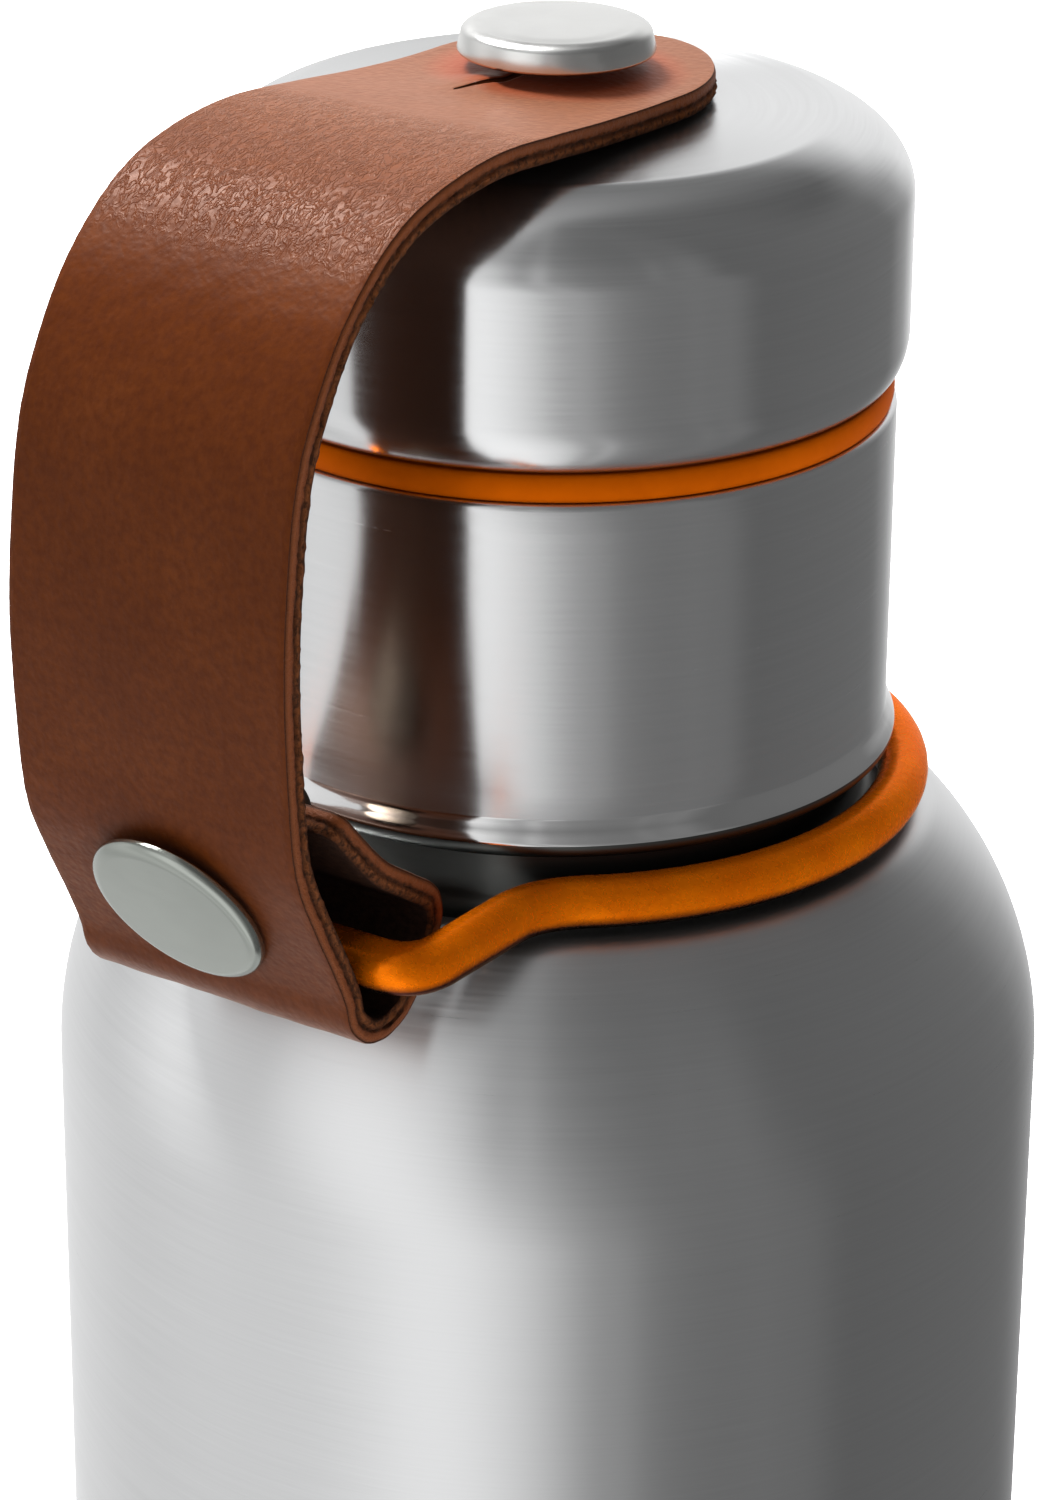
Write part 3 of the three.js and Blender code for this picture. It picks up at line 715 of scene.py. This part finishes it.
def add_gasket():
    """Silicone ring, slightly swollen between the collar and the cap's curled edge."""
    outer_r = GASKET_HIGH.x
    inner_r = 19.1
    low = NECK_TOP + 0.06
    under_cap = CAP_LOW.z - 0.05
    rim_r = CAP_R - RIM_IN - 0.3
    swell = 0.35
    middle = (low + under_cap) / 2
    profile = [
        (inner_r, low),
        (outer_r - 0.5, low),
        *arc(outer_r - swell, middle, swell, -90, 90, 12, ry=(under_cap - low) / 2),
        (rim_r, under_cap),
        (rim_r, GASKET_HIGH.z),
        (inner_r, GASKET_HIGH.z),
    ]
    gasket = revolve("seal_gasket_fine", profile, orange_rubber(), 200)
    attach(gasket, "gasket")
    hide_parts("seal_gasket")


def add_cap_shell():
    """Flat lid with a crisp rim, then a rounded shoulder that starts with a slope."""
    inside_r = CAP_R - CAP_WALL
    top = CAP_HIGH.z - CAP_CROWN
    low = CAP_LOW.z
    hole_r = SPIGOT_R + 0.35
    wide, tall, slope = 8.8, 6.1, 70  # of the elliptical shoulder, which stops short of level
    shoulder_r = CAP_R - wide
    shoulder_z = top - tall * math.sin(math.radians(slope))
    lid_r = shoulder_r + wide * math.cos(math.radians(slope))

    def shoulder(inset, start, end, steps):
        return arc(shoulder_r, shoulder_z, wide - inset, start, end, steps, ry=tall - inset)

    crown = [(r, top + CAP_CROWN * (1 - (r / lid_r) ** 2)) for r in np.linspace(lid_r - 0.9, hole_r, 12)]
    profile = [
        (inside_r, low + 1.1),
        (CAP_R - RIM_IN - 0.1, low + 0.15),
        *arc(CAP_R - RIM_IN, low + RIM_UP, RIM_IN, 270, 360, 14, ry=RIM_UP),
        *line((CAP_R, low + RIM_UP), (CAP_R, shoulder_z), 8)[:-1],
        *shoulder(0, 0, slope, 26),
        (lid_r - 0.35, top + 0.015),
        *crown,
        (hole_r, CAP_HIGH.z - CAP_WALL),
        (lid_r, top - CAP_WALL),
        *shoulder(CAP_WALL, slope, 0, 10)[1:],
    ]
    cap = revolve("cap_shell_fine", profile, CAP_STEEL, 256)
    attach(cap, "cap")
    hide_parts("cap_shell")


def add_stud():
    """Mushroom stud: broad flat head with a soft edge, post and tapped spigot."""
    crown = 0.15
    head_top = STUD_HIGH.z - crown
    edge_r, edge_z = 1.3, 0.65
    corner = 0.25
    side_r = STUD_R - 0.24  # the head's side leans in a little
    flat_r = side_r - edge_r - 0.4
    neck_r = POST_R + 0.4
    foot = CAP_HIGH.z + 0.05
    foot_r = POST_R + 0.3
    tap_r, tap_top = 1.95, HEAD_LOW - 0.6
    profile = [
        (tap_r, STUD_LOW.z),
        (SPIGOT_R, STUD_LOW.z),
        (SPIGOT_R, foot),
        (foot_r, foot),
        (foot_r, foot + 0.25),
        (POST_R, foot + 0.5),
        (POST_R, HEAD_LOW - 0.4),
        (neck_r, HEAD_LOW),
        *line((neck_r, HEAD_LOW), (STUD_R - corner, HEAD_LOW), 3),
        *arc(STUD_R - corner, HEAD_LOW + corner, corner, 270, 360, 5)[1:],
        *arc(side_r - edge_r, head_top - edge_z, edge_r, 6, 88, 14, ry=edge_z),
        *[(r, head_top + crown * (1 - (r / side_r) ** 2)) for r in np.linspace(flat_r, 1, 7)],
        (0, STUD_HIGH.z),
        (0, tap_top),
        (tap_r, tap_top),
    ]
    stud = revolve("strap_stud_fine", profile, STUD_STEEL, 128)
    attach(stud, "cap")
    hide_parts("strap_stud")


# --- Leather handle


class Route:
    """The leather's middle line, a Catmull-Rom curve through its points, by length along it."""

    def __init__(self, points):
        knots = np.array(points, float)
        last = len(knots) - 1
        per_span = 40
        window = 61  # samples over which the bend is averaged
        t = np.linspace(0, 1, per_span, endpoint=False)[:, None]
        samples = []
        for i in range(last):
            before, after = knots[max(i - 1, 0)], knots[min(i + 2, last)]
            here, there = knots[i], knots[i + 1]
            v0, v1 = (there - before) / 2, (after - here) / 2
            cubic = 2 * here - 2 * there + v0 + v1
            square = 3 * there - 3 * here - 2 * v0 - v1
            samples.append(cubic * t**3 + square * t**2 + v0 * t + here)
        self.points = np.vstack([*samples, knots[-1:]])
        steps = np.linalg.norm(np.diff(self.points, axis=0), axis=1)
        self.length = np.concatenate([[0], np.cumsum(steps)])
        direction = np.gradient(self.points, axis=0)
        self.direction = direction / np.linalg.norm(direction, axis=1)[:, None]
        angle = np.unwrap(np.arctan2(self.direction[:, 1], self.direction[:, 0]))
        turn = -np.gradient(angle) / np.maximum(np.gradient(self.length), 1e-6)
        kernel = np.hanning(window)
        padded = np.pad(turn, window // 2, mode="edge")
        self.turn = np.convolve(padded, kernel / kernel.sum(), mode="valid")

    def at(self, u):
        """Place (s, z) and direction at a length along the route."""
        place = [np.interp(u, self.length, self.points[:, k]) for k in (0, 1)]
        along = np.array([np.interp(u, self.length, self.direction[:, k]) for k in (0, 1)])
        return np.array(place), along / np.linalg.norm(along)

    def bend_at(self, u):
        """How sharply the leather bends outwards there, from 0 to 1 for the sharpest bend."""
        sharpest = 0.06  # radians per millimetre
        return max(0.0, min(1.0, np.interp(u, self.length, self.turn) / sharpest))

    def nearest(self, point, low, high):
        """Length along the route, between two lengths, that passes closest to a point."""
        inside = (self.length >= low) & (self.length <= high)
        gaps = np.linalg.norm(self.points - point, axis=1)
        gaps[~inside] = 1e9
        return self.length[gaps.argmin()]


def outer_outline(stud_u, end_u):
    """The strap's edge: half an ellipse round the stud, long sides that widen, two small corners."""
    step = 0.4
    end_arc = 36.0  # roughly the length of the edge round the stud
    corner = 1.2
    widening = 30.0  # from the stud to where the strap has its full width

    def half_at(u):
        share = min(1.0, (u - stud_u) / widening)
        return STRAP_END_HALF + (STRAP_HALF - STRAP_END_HALF) * share * share * (3 - 2 * share)

    round_steps = int(end_arc / step) - 1
    side_end = end_u - corner
    rows = int((side_end - stud_u) / step)
    straight = STRAP_HALF - corner
    columns = int(2 * straight / step)
    return [
        *arc(0, stud_u, STRAP_END_HALF, 180, 360, round_steps, ry=STRAP_END_REACH),
        *[(half_at(u), u) for u in np.linspace(stud_u, side_end, rows + 1)[1:]],
        *arc(straight, side_end, corner, 0, 90, 5)[1:],
        *[(x, end_u) for x in np.linspace(straight, -straight, columns + 1)[1:]],
        *arc(-straight, side_end, corner, 90, 180, 5)[1:],
        *[(-half_at(u), u) for u in np.linspace(side_end, stud_u, rows + 1)[1:-1]],
    ]


def keyhole_outline(stud_u):
    """A round hole for the post, open to a curved slit that narrows towards the hand grip."""
    hole_r, slit_half, slit_length = 3.56, 0.20, 6.6
    slit_tip = 0.06
    sideways = -1.6
    opening = math.degrees(math.asin(slit_half / hole_r))
    slit_u = stud_u + hole_r
    shares = np.arange(0.5, slit_length, 0.5) / slit_length

    def slit_side(share, side):
        half = slit_half * (1 - share) + slit_tip
        return (sideways * share * share + side * half, slit_u + share * slit_length)

    return [
        *arc(0, stud_u, hole_r, 90 + opening, 450 - opening, 39),
        *[slit_side(share, 1) for share in shares],
        (sideways, slit_u + slit_length + 0.1),
        *[slit_side(share, -1) for share in reversed(shares)],
    ]


def rivet_hole_outlines(route):
    """Round holes where the rivet's axis crosses the grip and the folded end."""
    hole_r = 2.05
    grip, fold = (60, 115), (118, route.length[-1])  # lengths between which each crossing lies
    grip_depth, fold_depth = 0.9, 7.6  # behind the rivet's face
    axis = np.array([-math.cos(RIVET_TILT), math.sin(RIVET_TILT)])
    grip_u = route.nearest(RIVET_FACE + grip_depth * axis, *grip)
    fold_u = route.nearest(RIVET_FACE + fold_depth * axis, *fold)
    return [arc(0, u, hole_r, 0, 360, 24)[:-1] for u in (grip_u, fold_u)]


def inside_polygon(points, polygon):
    """For each point, whether it lies inside the polygon."""
    x, y = points[:, 0][:, None], points[:, 1][:, None]
    px, py = np.array(polygon).T
    qx, qy = np.roll(px, -1), np.roll(py, -1)
    crosses = ((py > y) != (qy > y)) & (x < (qx - px) * (y - py) / np.where(qy == py, 1e-12, qy - py) + px)
    return crosses.sum(1) % 2 == 1


def in_leather(points, outlines):
    """For each point, whether it lies inside the first outline and outside the others, the holes."""
    inside, *in_holes = [inside_polygon(points, outline) for outline in outlines]
    return inside & ~np.any(in_holes, axis=0)


def edge_distance(points, outlines):
    """Distance from each point to the nearest outline."""
    best = np.full(len(points), 1e9)
    for outline in outlines:
        a = np.array(outline)
        b = np.roll(a, -1, axis=0)
        for p, q in zip(a, b):
            d = q - p
            t = np.clip(((points - p) @ d) / max(d @ d, 1e-12), 0, 1)
            best = np.minimum(best, np.linalg.norm(points - (p + t[:, None] * d), axis=1))
    return best


def flat_leather(outlines):
    """Triangles of the flat shape: points, triangles and the outlines' point numbers."""
    step = 0.6
    clear = 0.55 * step  # the least distance from a grid point to an outline
    ends = [u for _, u in outlines[0]]
    xs = np.arange(-STRAP_HALF, STRAP_HALF + step, step)
    grid = np.array([(x, u) for u in np.arange(min(ends), max(ends), step) for x in xs])
    grid = grid[in_leather(grid, outlines)]
    grid = grid[edge_distance(grid, outlines) > clear]
    points, edges, loops = [], [], []
    for outline in outlines:
        loop = list(range(len(points), len(points) + len(outline)))
        points += [Vector(p) for p in outline]
        edges += zip(loop, loop[1:] + loop[:1])
        loops.append(loop)
    points += [Vector(p) for p in grid]
    made, _, triangles, _, _, _ = delaunay_2d_cdt(points, edges, [], 0, 1e-6)
    flat = np.array([(p.x, p.y) for p in made])
    centres = np.array([flat[list(t)].mean(0) for t in triangles])
    triangles = [tuple(t) for t, k in zip(triangles, in_leather(centres, outlines)) if k]
    return flat, triangles, loops


def outward_directions(flat, loops):
    """At each outline point, the direction in the flat shape that leads out of the leather."""
    outward = np.zeros_like(flat)
    for number, loop in enumerate(loops):
        ring = flat[loop]
        along = np.roll(ring, -1, axis=0) - np.roll(ring, 1, axis=0)
        along /= np.linalg.norm(along, axis=1)[:, None]
        side = np.stack([along[:, 1], -along[:, 0]], 1)
        is_hole = number > 0
        looks_away = np.mean(np.sum((ring - ring.mean(0)) * side, 1)) > 0
        outward[loop] = -side if is_hole and looks_away else side
    return outward


def surface_lift(x, u, stud_u, bend):
    """How far the leather stands off its route: slow unevenness, wrinkles and swellings at the stud."""
    slow = noise.noise(Vector((x * 0.10, u * 0.07, 3.0))) * 0.10
    wrinkle = noise.noise(Vector((x * 0.55, u * 1.5, 9.0))) * 0.05 * bend
    lip_x, lip_u = -1.2, stud_u + 7.0  # a raised lip beside the slit
    aside = (x - lip_x) / (2.6 if x < lip_x else 1.5)
    lip = 0.62 * math.exp(-(aside**2) - ((u - lip_u) / 3.0) ** 2)
    collar_r = 6.4
    collar = 0.85 * math.exp(-(((x * x + (u - stud_u) ** 2) / collar_r**2) ** 2))
    return slow + wrinkle + max(lip, collar) + 0.25 * min(lip, collar)


class LaidLeather:
    """Points of the flat leather laid along its route, with the values that its materials read."""

    def __init__(self, route, stud_u, flat, outward):
        self.route, self.stud_u, self.flat, self.outward = route, stud_u, flat, outward
        self.verts, self.depth, self.bend, self.sheet = [], [], [], []

    def add(self, index, push, height):
        """Adds a flat point, pushed outwards and raised from the middle plane, and returns its number."""
        x, u = self.flat[index] + self.outward[index] * push
        spot, along = self.route.at(u)
        normal = np.array([-along[1], along[0]])
        s, z = spot + normal * (height + surface_lift(x, u, self.stud_u, self.route.bend_at(u)))
        self.verts.append((x, -s, z))
        self.depth.append(0.5 - height / STRAP_THICK)
        flat_x, flat_u = self.flat[index]
        self.bend.append(self.route.bend_at(flat_u))
        self.sheet.extend((flat_x * MM, flat_u * MM, 0))
        return len(self.verts) - 1

    def add_edge_row(self, loop, push, share):
        """Adds a row round an outline at a share of half the thickness, torn on the flesh side."""
        tear = 1.0 if share < 0.1 else 0.10
        row = []
        for i in loop:
            x, u = self.flat[i]
            torn = noise.noise(Vector((x * 1.1, u * 1.1, share * 4))) * 0.12
            torn += noise.noise(Vector((x * 2.9, u * 2.9, share * 6 + 5))) * 0.16
            row.append(self.add(i, push + torn * tear, share * STRAP_THICK / 2))
        return row

    def store(self, mesh):
        for name, values in (("depth", self.depth), ("bend", self.bend)):
            attribute = mesh.attributes.new(name, "FLOAT", "POINT")
            attribute.data.foreach_set("value", values)
        mesh.attributes.new("flat", "FLOAT_VECTOR", "POINT").data.foreach_set("vector", self.sheet)


def add_strap():
    """Cuts the flat leather, lays it along its route and closes its cut edges."""
    route = Route(HANDLE_ROUTE)
    lid_end = 30  # the stud lies on this first stretch
    stud_u = route.nearest((0, 235.3), 0, lid_end)
    holes = [keyhole_outline(stud_u), *rivet_hole_outlines(route)]
    flat, triangles, loops = flat_leather([outer_outline(stud_u, route.length[-1]), *holes])
    leather = LaidLeather(route, stud_u, flat, outward_directions(flat, loops))
    grain, flesh, edge = range(3)  # places in LEATHER

    inset = 0.28  # of the grain side, whose edge is rounded
    top = [leather.add(i, -inset, STRAP_THICK / 2) for i in range(len(flat))]
    under = [leather.add(i, -inset * 0.5, -STRAP_THICK / 2) for i in range(len(flat))]
    faces = [tuple(top[i] for i in t) for t in triangles]
    faces += [tuple(under[i] for i in reversed(t)) for t in triangles]
    kinds = [grain] * len(triangles) + [flesh] * len(triangles)

    # Rounded grain corner, smooth band, sunken line, then fibres: push outwards, height by half thickness
    levels = [(-0.13, 0.96), (-0.14, 0.84), (-0.04, 0.74), (0.0, 0.5), (0.0, 0.2), (-0.03, 0.05),
              (-0.13, -0.08), (-0.08, -0.25), (0.0, -0.42), (0.0, -0.6), (-0.05, -0.85)]
    for loop in loops:
        rows = [leather.add_edge_row(loop, push, share) for push, share in levels]
        rows = [[top[i] for i in loop], *rows, [under[i] for i in loop]]
        for number, (upper, lower) in enumerate(zip(rows, rows[1:])):
            for k in range(len(loop)):
                j = (k + 1) % len(loop)
                faces.append((upper[k], lower[k], lower[j], upper[j]))
                kinds.append(grain if number == 0 else edge)

    strap = make_object("leather_strap", leather.verts, faces, LEATHER, 60)
    strap.data.polygons.foreach_set("material_index", kinds)
    leather.store(strap.data)
    work = bmesh.new()
    work.from_mesh(strap.data)
    bmesh.ops.recalc_face_normals(work, faces=work.faces)
    work.to_mesh(strap.data)
    work.free()
    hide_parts("strap")
    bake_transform(strap)


def rivet_matrix():
    """Turns +Z into the direction in which the rivet's face looks, and moves to its place."""
    s, z = RIVET_FACE
    face = Vector((0, -math.cos(RIVET_TILT), -math.sin(RIVET_TILT)))
    return Matrix.Translation((0, -s, z)) @ face.to_track_quat("Z", "Y").to_matrix().to_4x4()


def add_rivet_cap():
    """Domed disc with a rolled rim, on a pin that goes into the back half's tube."""
    low = 0.06
    corner = 0.25
    rim_z = 0.42
    face_r = RIVET_R - 1.05
    face_z, dome = 1.12, 0.12
    profile = [
        (0, PIN_END),
        (PIN_R, PIN_END),
        (PIN_R, low),
        (RIVET_R - corner, low),
        *arc(RIVET_R - corner, low + 0.2, corner, 270, 360, 6, ry=0.2)[1:],
        (RIVET_R - 0.01, rim_z - 0.05),
        *arc(face_r, rim_z, RIVET_R - face_r, 0, 88, 18, ry=face_z - rim_z)[1:],
        *[(r, face_z + dome * (1 - (r / face_r) ** 2)) for r in np.linspace(face_r - 0.3, 0.6, 8)],
        (0, face_z + dome),
    ]
    cap = revolve("rivet_cap_fine", profile, RIVET_STEEL, 96, rivet_matrix())
    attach(cap, "ring")
    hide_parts("rivet_cap")


def add_rivet_back():
    """Low dome behind the folded leather, with the tube that takes the pin."""
    bore_r, bore_end = PIN_R + 0.3, PIN_END - 0.4
    tube_r, tube_end = 1.7, -0.6
    disc_r, corner = 3.6, 0.4
    profile = [
        (0, -RIVET_REACH - 1),
        (1.5, -RIVET_REACH - 0.98),
        (disc_r - corner, -RIVET_REACH - 0.75),
        *arc(disc_r - corner, -RIVET_REACH - 0.35, corner, 270, 360, 6)[1:],
        (disc_r, -RIVET_REACH),
        (tube_r, -RIVET_REACH),
        (tube_r, tube_end),
        (bore_r, tube_end),
        (bore_r, bore_end),
        (0, bore_end),
    ]
    back = revolve("rivet_back_fine", profile, BACK_STEEL, 64, rivet_matrix())
    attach(back, "ring")
    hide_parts("rivet_back")


# --- Wire ring


def bezier(a, b, c, steps):
    """Points of a quadratic curve, without the last."""
    t = np.linspace(0, 1, steps, endpoint=False)
    return [a * (1 - k) ** 2 + b * 2 * k * (1 - k) + c * k**2 for k in t]


def add_tether_ring():
    """Wire round the neck, bent out in a squared bump whose bar carries the leather."""
    leg_angle = math.asin(BAR_HALF / RING_R)
    corner, turn_in = 3.2, 3.4  # lengths of the bends at the bar's ends and at the ring

    def at(x, s):
        return Vector((x, -s, RING_Z))

    leave_angle = leg_angle + turn_in / RING_R
    leave = at(RING_R * math.sin(leave_angle), RING_R * math.cos(leave_angle))
    leg_foot = RING_R * math.cos(leg_angle)
    bend = at(BAR_HALF, leg_foot + 0.4)
    leg_start = at(BAR_HALF, leg_foot + turn_in)
    leg_end = at(BAR_HALF, BAR_S - corner)
    bar_start = at(BAR_HALF - corner, BAR_S)
    bar_middle = at(0, BAR_S)
    corner_point = at(BAR_HALF, BAR_S)
    half = [
        *bezier(leave, bend, leg_start, 16),
        *bezier(leg_start, (leg_start + leg_end) / 2, leg_end, 6),
        *bezier(leg_end, corner_point, bar_start, 16),
        *bezier(bar_start, bar_start.lerp(bar_middle, 0.5), bar_middle, 12),
    ]
    other = [Vector((-v.x, v.y, v.z)) for v in reversed(half)]
    steps = 220
    sweep = 2 * (math.pi - leave_angle)
    angles = [leave_angle + sweep * (1 - k / steps) for k in range(1, steps)]
    far = [at(RING_R * math.sin(a), RING_R * math.cos(a)) for a in angles]
    ring = tube("tether_ring_fine", [*half, bar_middle, *other, *far], ROD_R, orange_coat())
    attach(ring, "ring")
    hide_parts("tether_ring")


# --- Pieces kept from the CAD


def dress_inner_pieces():
    """The hidden pieces keep their CAD meshes and get their own materials."""
    finishes = {
        DRAWN_STEEL: ("inner_flask", "base_plate", "stud_washer", "stud_screw"),
        moulded_plastic(): ("cap_core", "stopper_base"),
        foam(): ("cap_foam",),
        sintered_metal(): ("getter",),
        fused_glass(): ("vacuum_seal",),
    }
    for material, nodes in finishes.items():
        for node in nodes:
            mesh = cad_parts[node].data
            mesh.materials.clear()
            mesh.materials.append(material)
            mesh.shade_smooth()
            mesh.set_sharp_from_angle(angle=math.radians(30))


# --- Stage


def add_world():
    """A studio without edges: white to the left and behind, grey to the right of the camera.

    The border between the two leans: it lies further round for what is reflected from lower down.
    """
    world = bpy.data.worlds.new("studio")
    bpy.context.scene.world = world
    world.use_nodes = True
    make = Nodes(world.node_tree)
    where = make.node("ShaderNodeTexCoord").outputs["Generated"]
    sine, cosine = math.sin(CAMERA_AZIMUTH), math.cos(CAMERA_AZIMUTH)

    def along(direction):
        return make.vectors("DOT_PRODUCT", where, direction)["Value"]

    ahead = along((sine, -cosine, 0))
    turn = make.math("ARCTAN2", along((cosine, sine, 0)), ahead)
    height = along((0, 0, 1))
    lean = make.spread(height, -0.6, 0.0, -0.039, 0.033)
    place = make.math("ADD", make.spread(turn, -math.pi, math.pi, 0, 1), lean)

    # Light by the angle round the bottle: 0 is behind the camera, positive to its right
    degrees_and_light = [
        (-180, 0.93), (-130, 0.78), (-116, 0.62), (-102, 0.76), (-85, 0.90), (-70, 0.74), (-58, 0.72),
        (-50, 0.98), (-40, 1.12), (-34, 1.16), (-24, 1.10), (-16, 0.95), (-10, 0.80), (-6, 0.66),
        (-3, 0.50), (0, 0.38), (3, 0.36), (6, 0.50), (8, 0.48), (11, 0.30), (20, 0.22), (30, 0.185),
        (40, 0.175), (43, 0.215), (47, 0.175), (56, 0.20), (66, 0.13), (112, 0.155), (135, 0.17),
        (150, 0.35), (166, 0.88), (180, 0.93),
    ]
    stops = [((d + 180) / 360, (v, v, v)) for d, v in degrees_and_light]
    level_light = make.ramp(place, stops)

    # Overhead it is a darker dome, darkest behind the bottle
    share = make.spread(ahead, -0.6, 0.0, 0.12, 0.46)
    dome = make.math("ADD", make.math("MULTIPLY", level_light, share), 0.07)
    light = make.blend(make.spread(height, 0.40, 0.62, 0.0, 1.0), level_light, dome)
    make.link(light, world.node_tree.nodes["Background"].inputs["Color"])


def add_light(name, place, target, size, power, glossy=False):
    """A rectangular light aimed at a target; only a glossy one shows in reflections."""
    data = bpy.data.lights.new(name, "AREA")
    data.shape = "RECTANGLE"
    data.size, data.size_y = size
    data.energy = power
    light = bpy.data.objects.new(name, data)
    bpy.context.scene.collection.objects.link(light)
    aim = Vector(target) - Vector(place)
    light.matrix_world = Matrix.Translation(place) @ aim.to_track_quat("-Z", "Y").to_matrix().to_4x4()
    light.visible_glossy = glossy


def add_floor():
    """A pale floor that glows a little, so that it stays white under the bottle."""
    make = Material("pale_floor")
    cloud = make.noise(make.coordinates(), 3, 2)
    tone = make.shades(cloud, (0.9, 0.9, 0.9), (0.92, 0.92, 0.92))
    material = make.finish(
        Base_Color=tone, Roughness=0.9, Emission_Color=(1.0, 1.0, 1.0), Emission_Strength=0.5
    )
    half = 4000
    corners = [(-half, -half, 0), (half, -half, 0), (half, half, 0), (-half, half, 0)]
    floor = make_object("floor", corners, [(0, 1, 2, 3)], [material])
    floor.visible_glossy = False


add_camera()
add_outer_shell()
add_neck_collar()
add_base_cover()
add_gasket()
add_cap_shell()
add_stud()
add_strap()
add_rivet_cap()
add_rivet_back()
add_tether_ring()
dress_inner_pieces()
add_world()
add_floor()
add_light("key", (-0.65, 0.125, 1.27), (0, -0.03, 0.22), (0.4, 0.4), 36, True)
add_light("panel", (-0.66, 0.79, 1.01), (0, -0.02, 0.22), (0.9, 0.6), 14)
add_light("overhead", (0.1, 0.5, 1.4), (0, 0, 0.1), (1.2, 1.2), 8)
bpy.context.scene.view_settings.view_transform = "Standard"
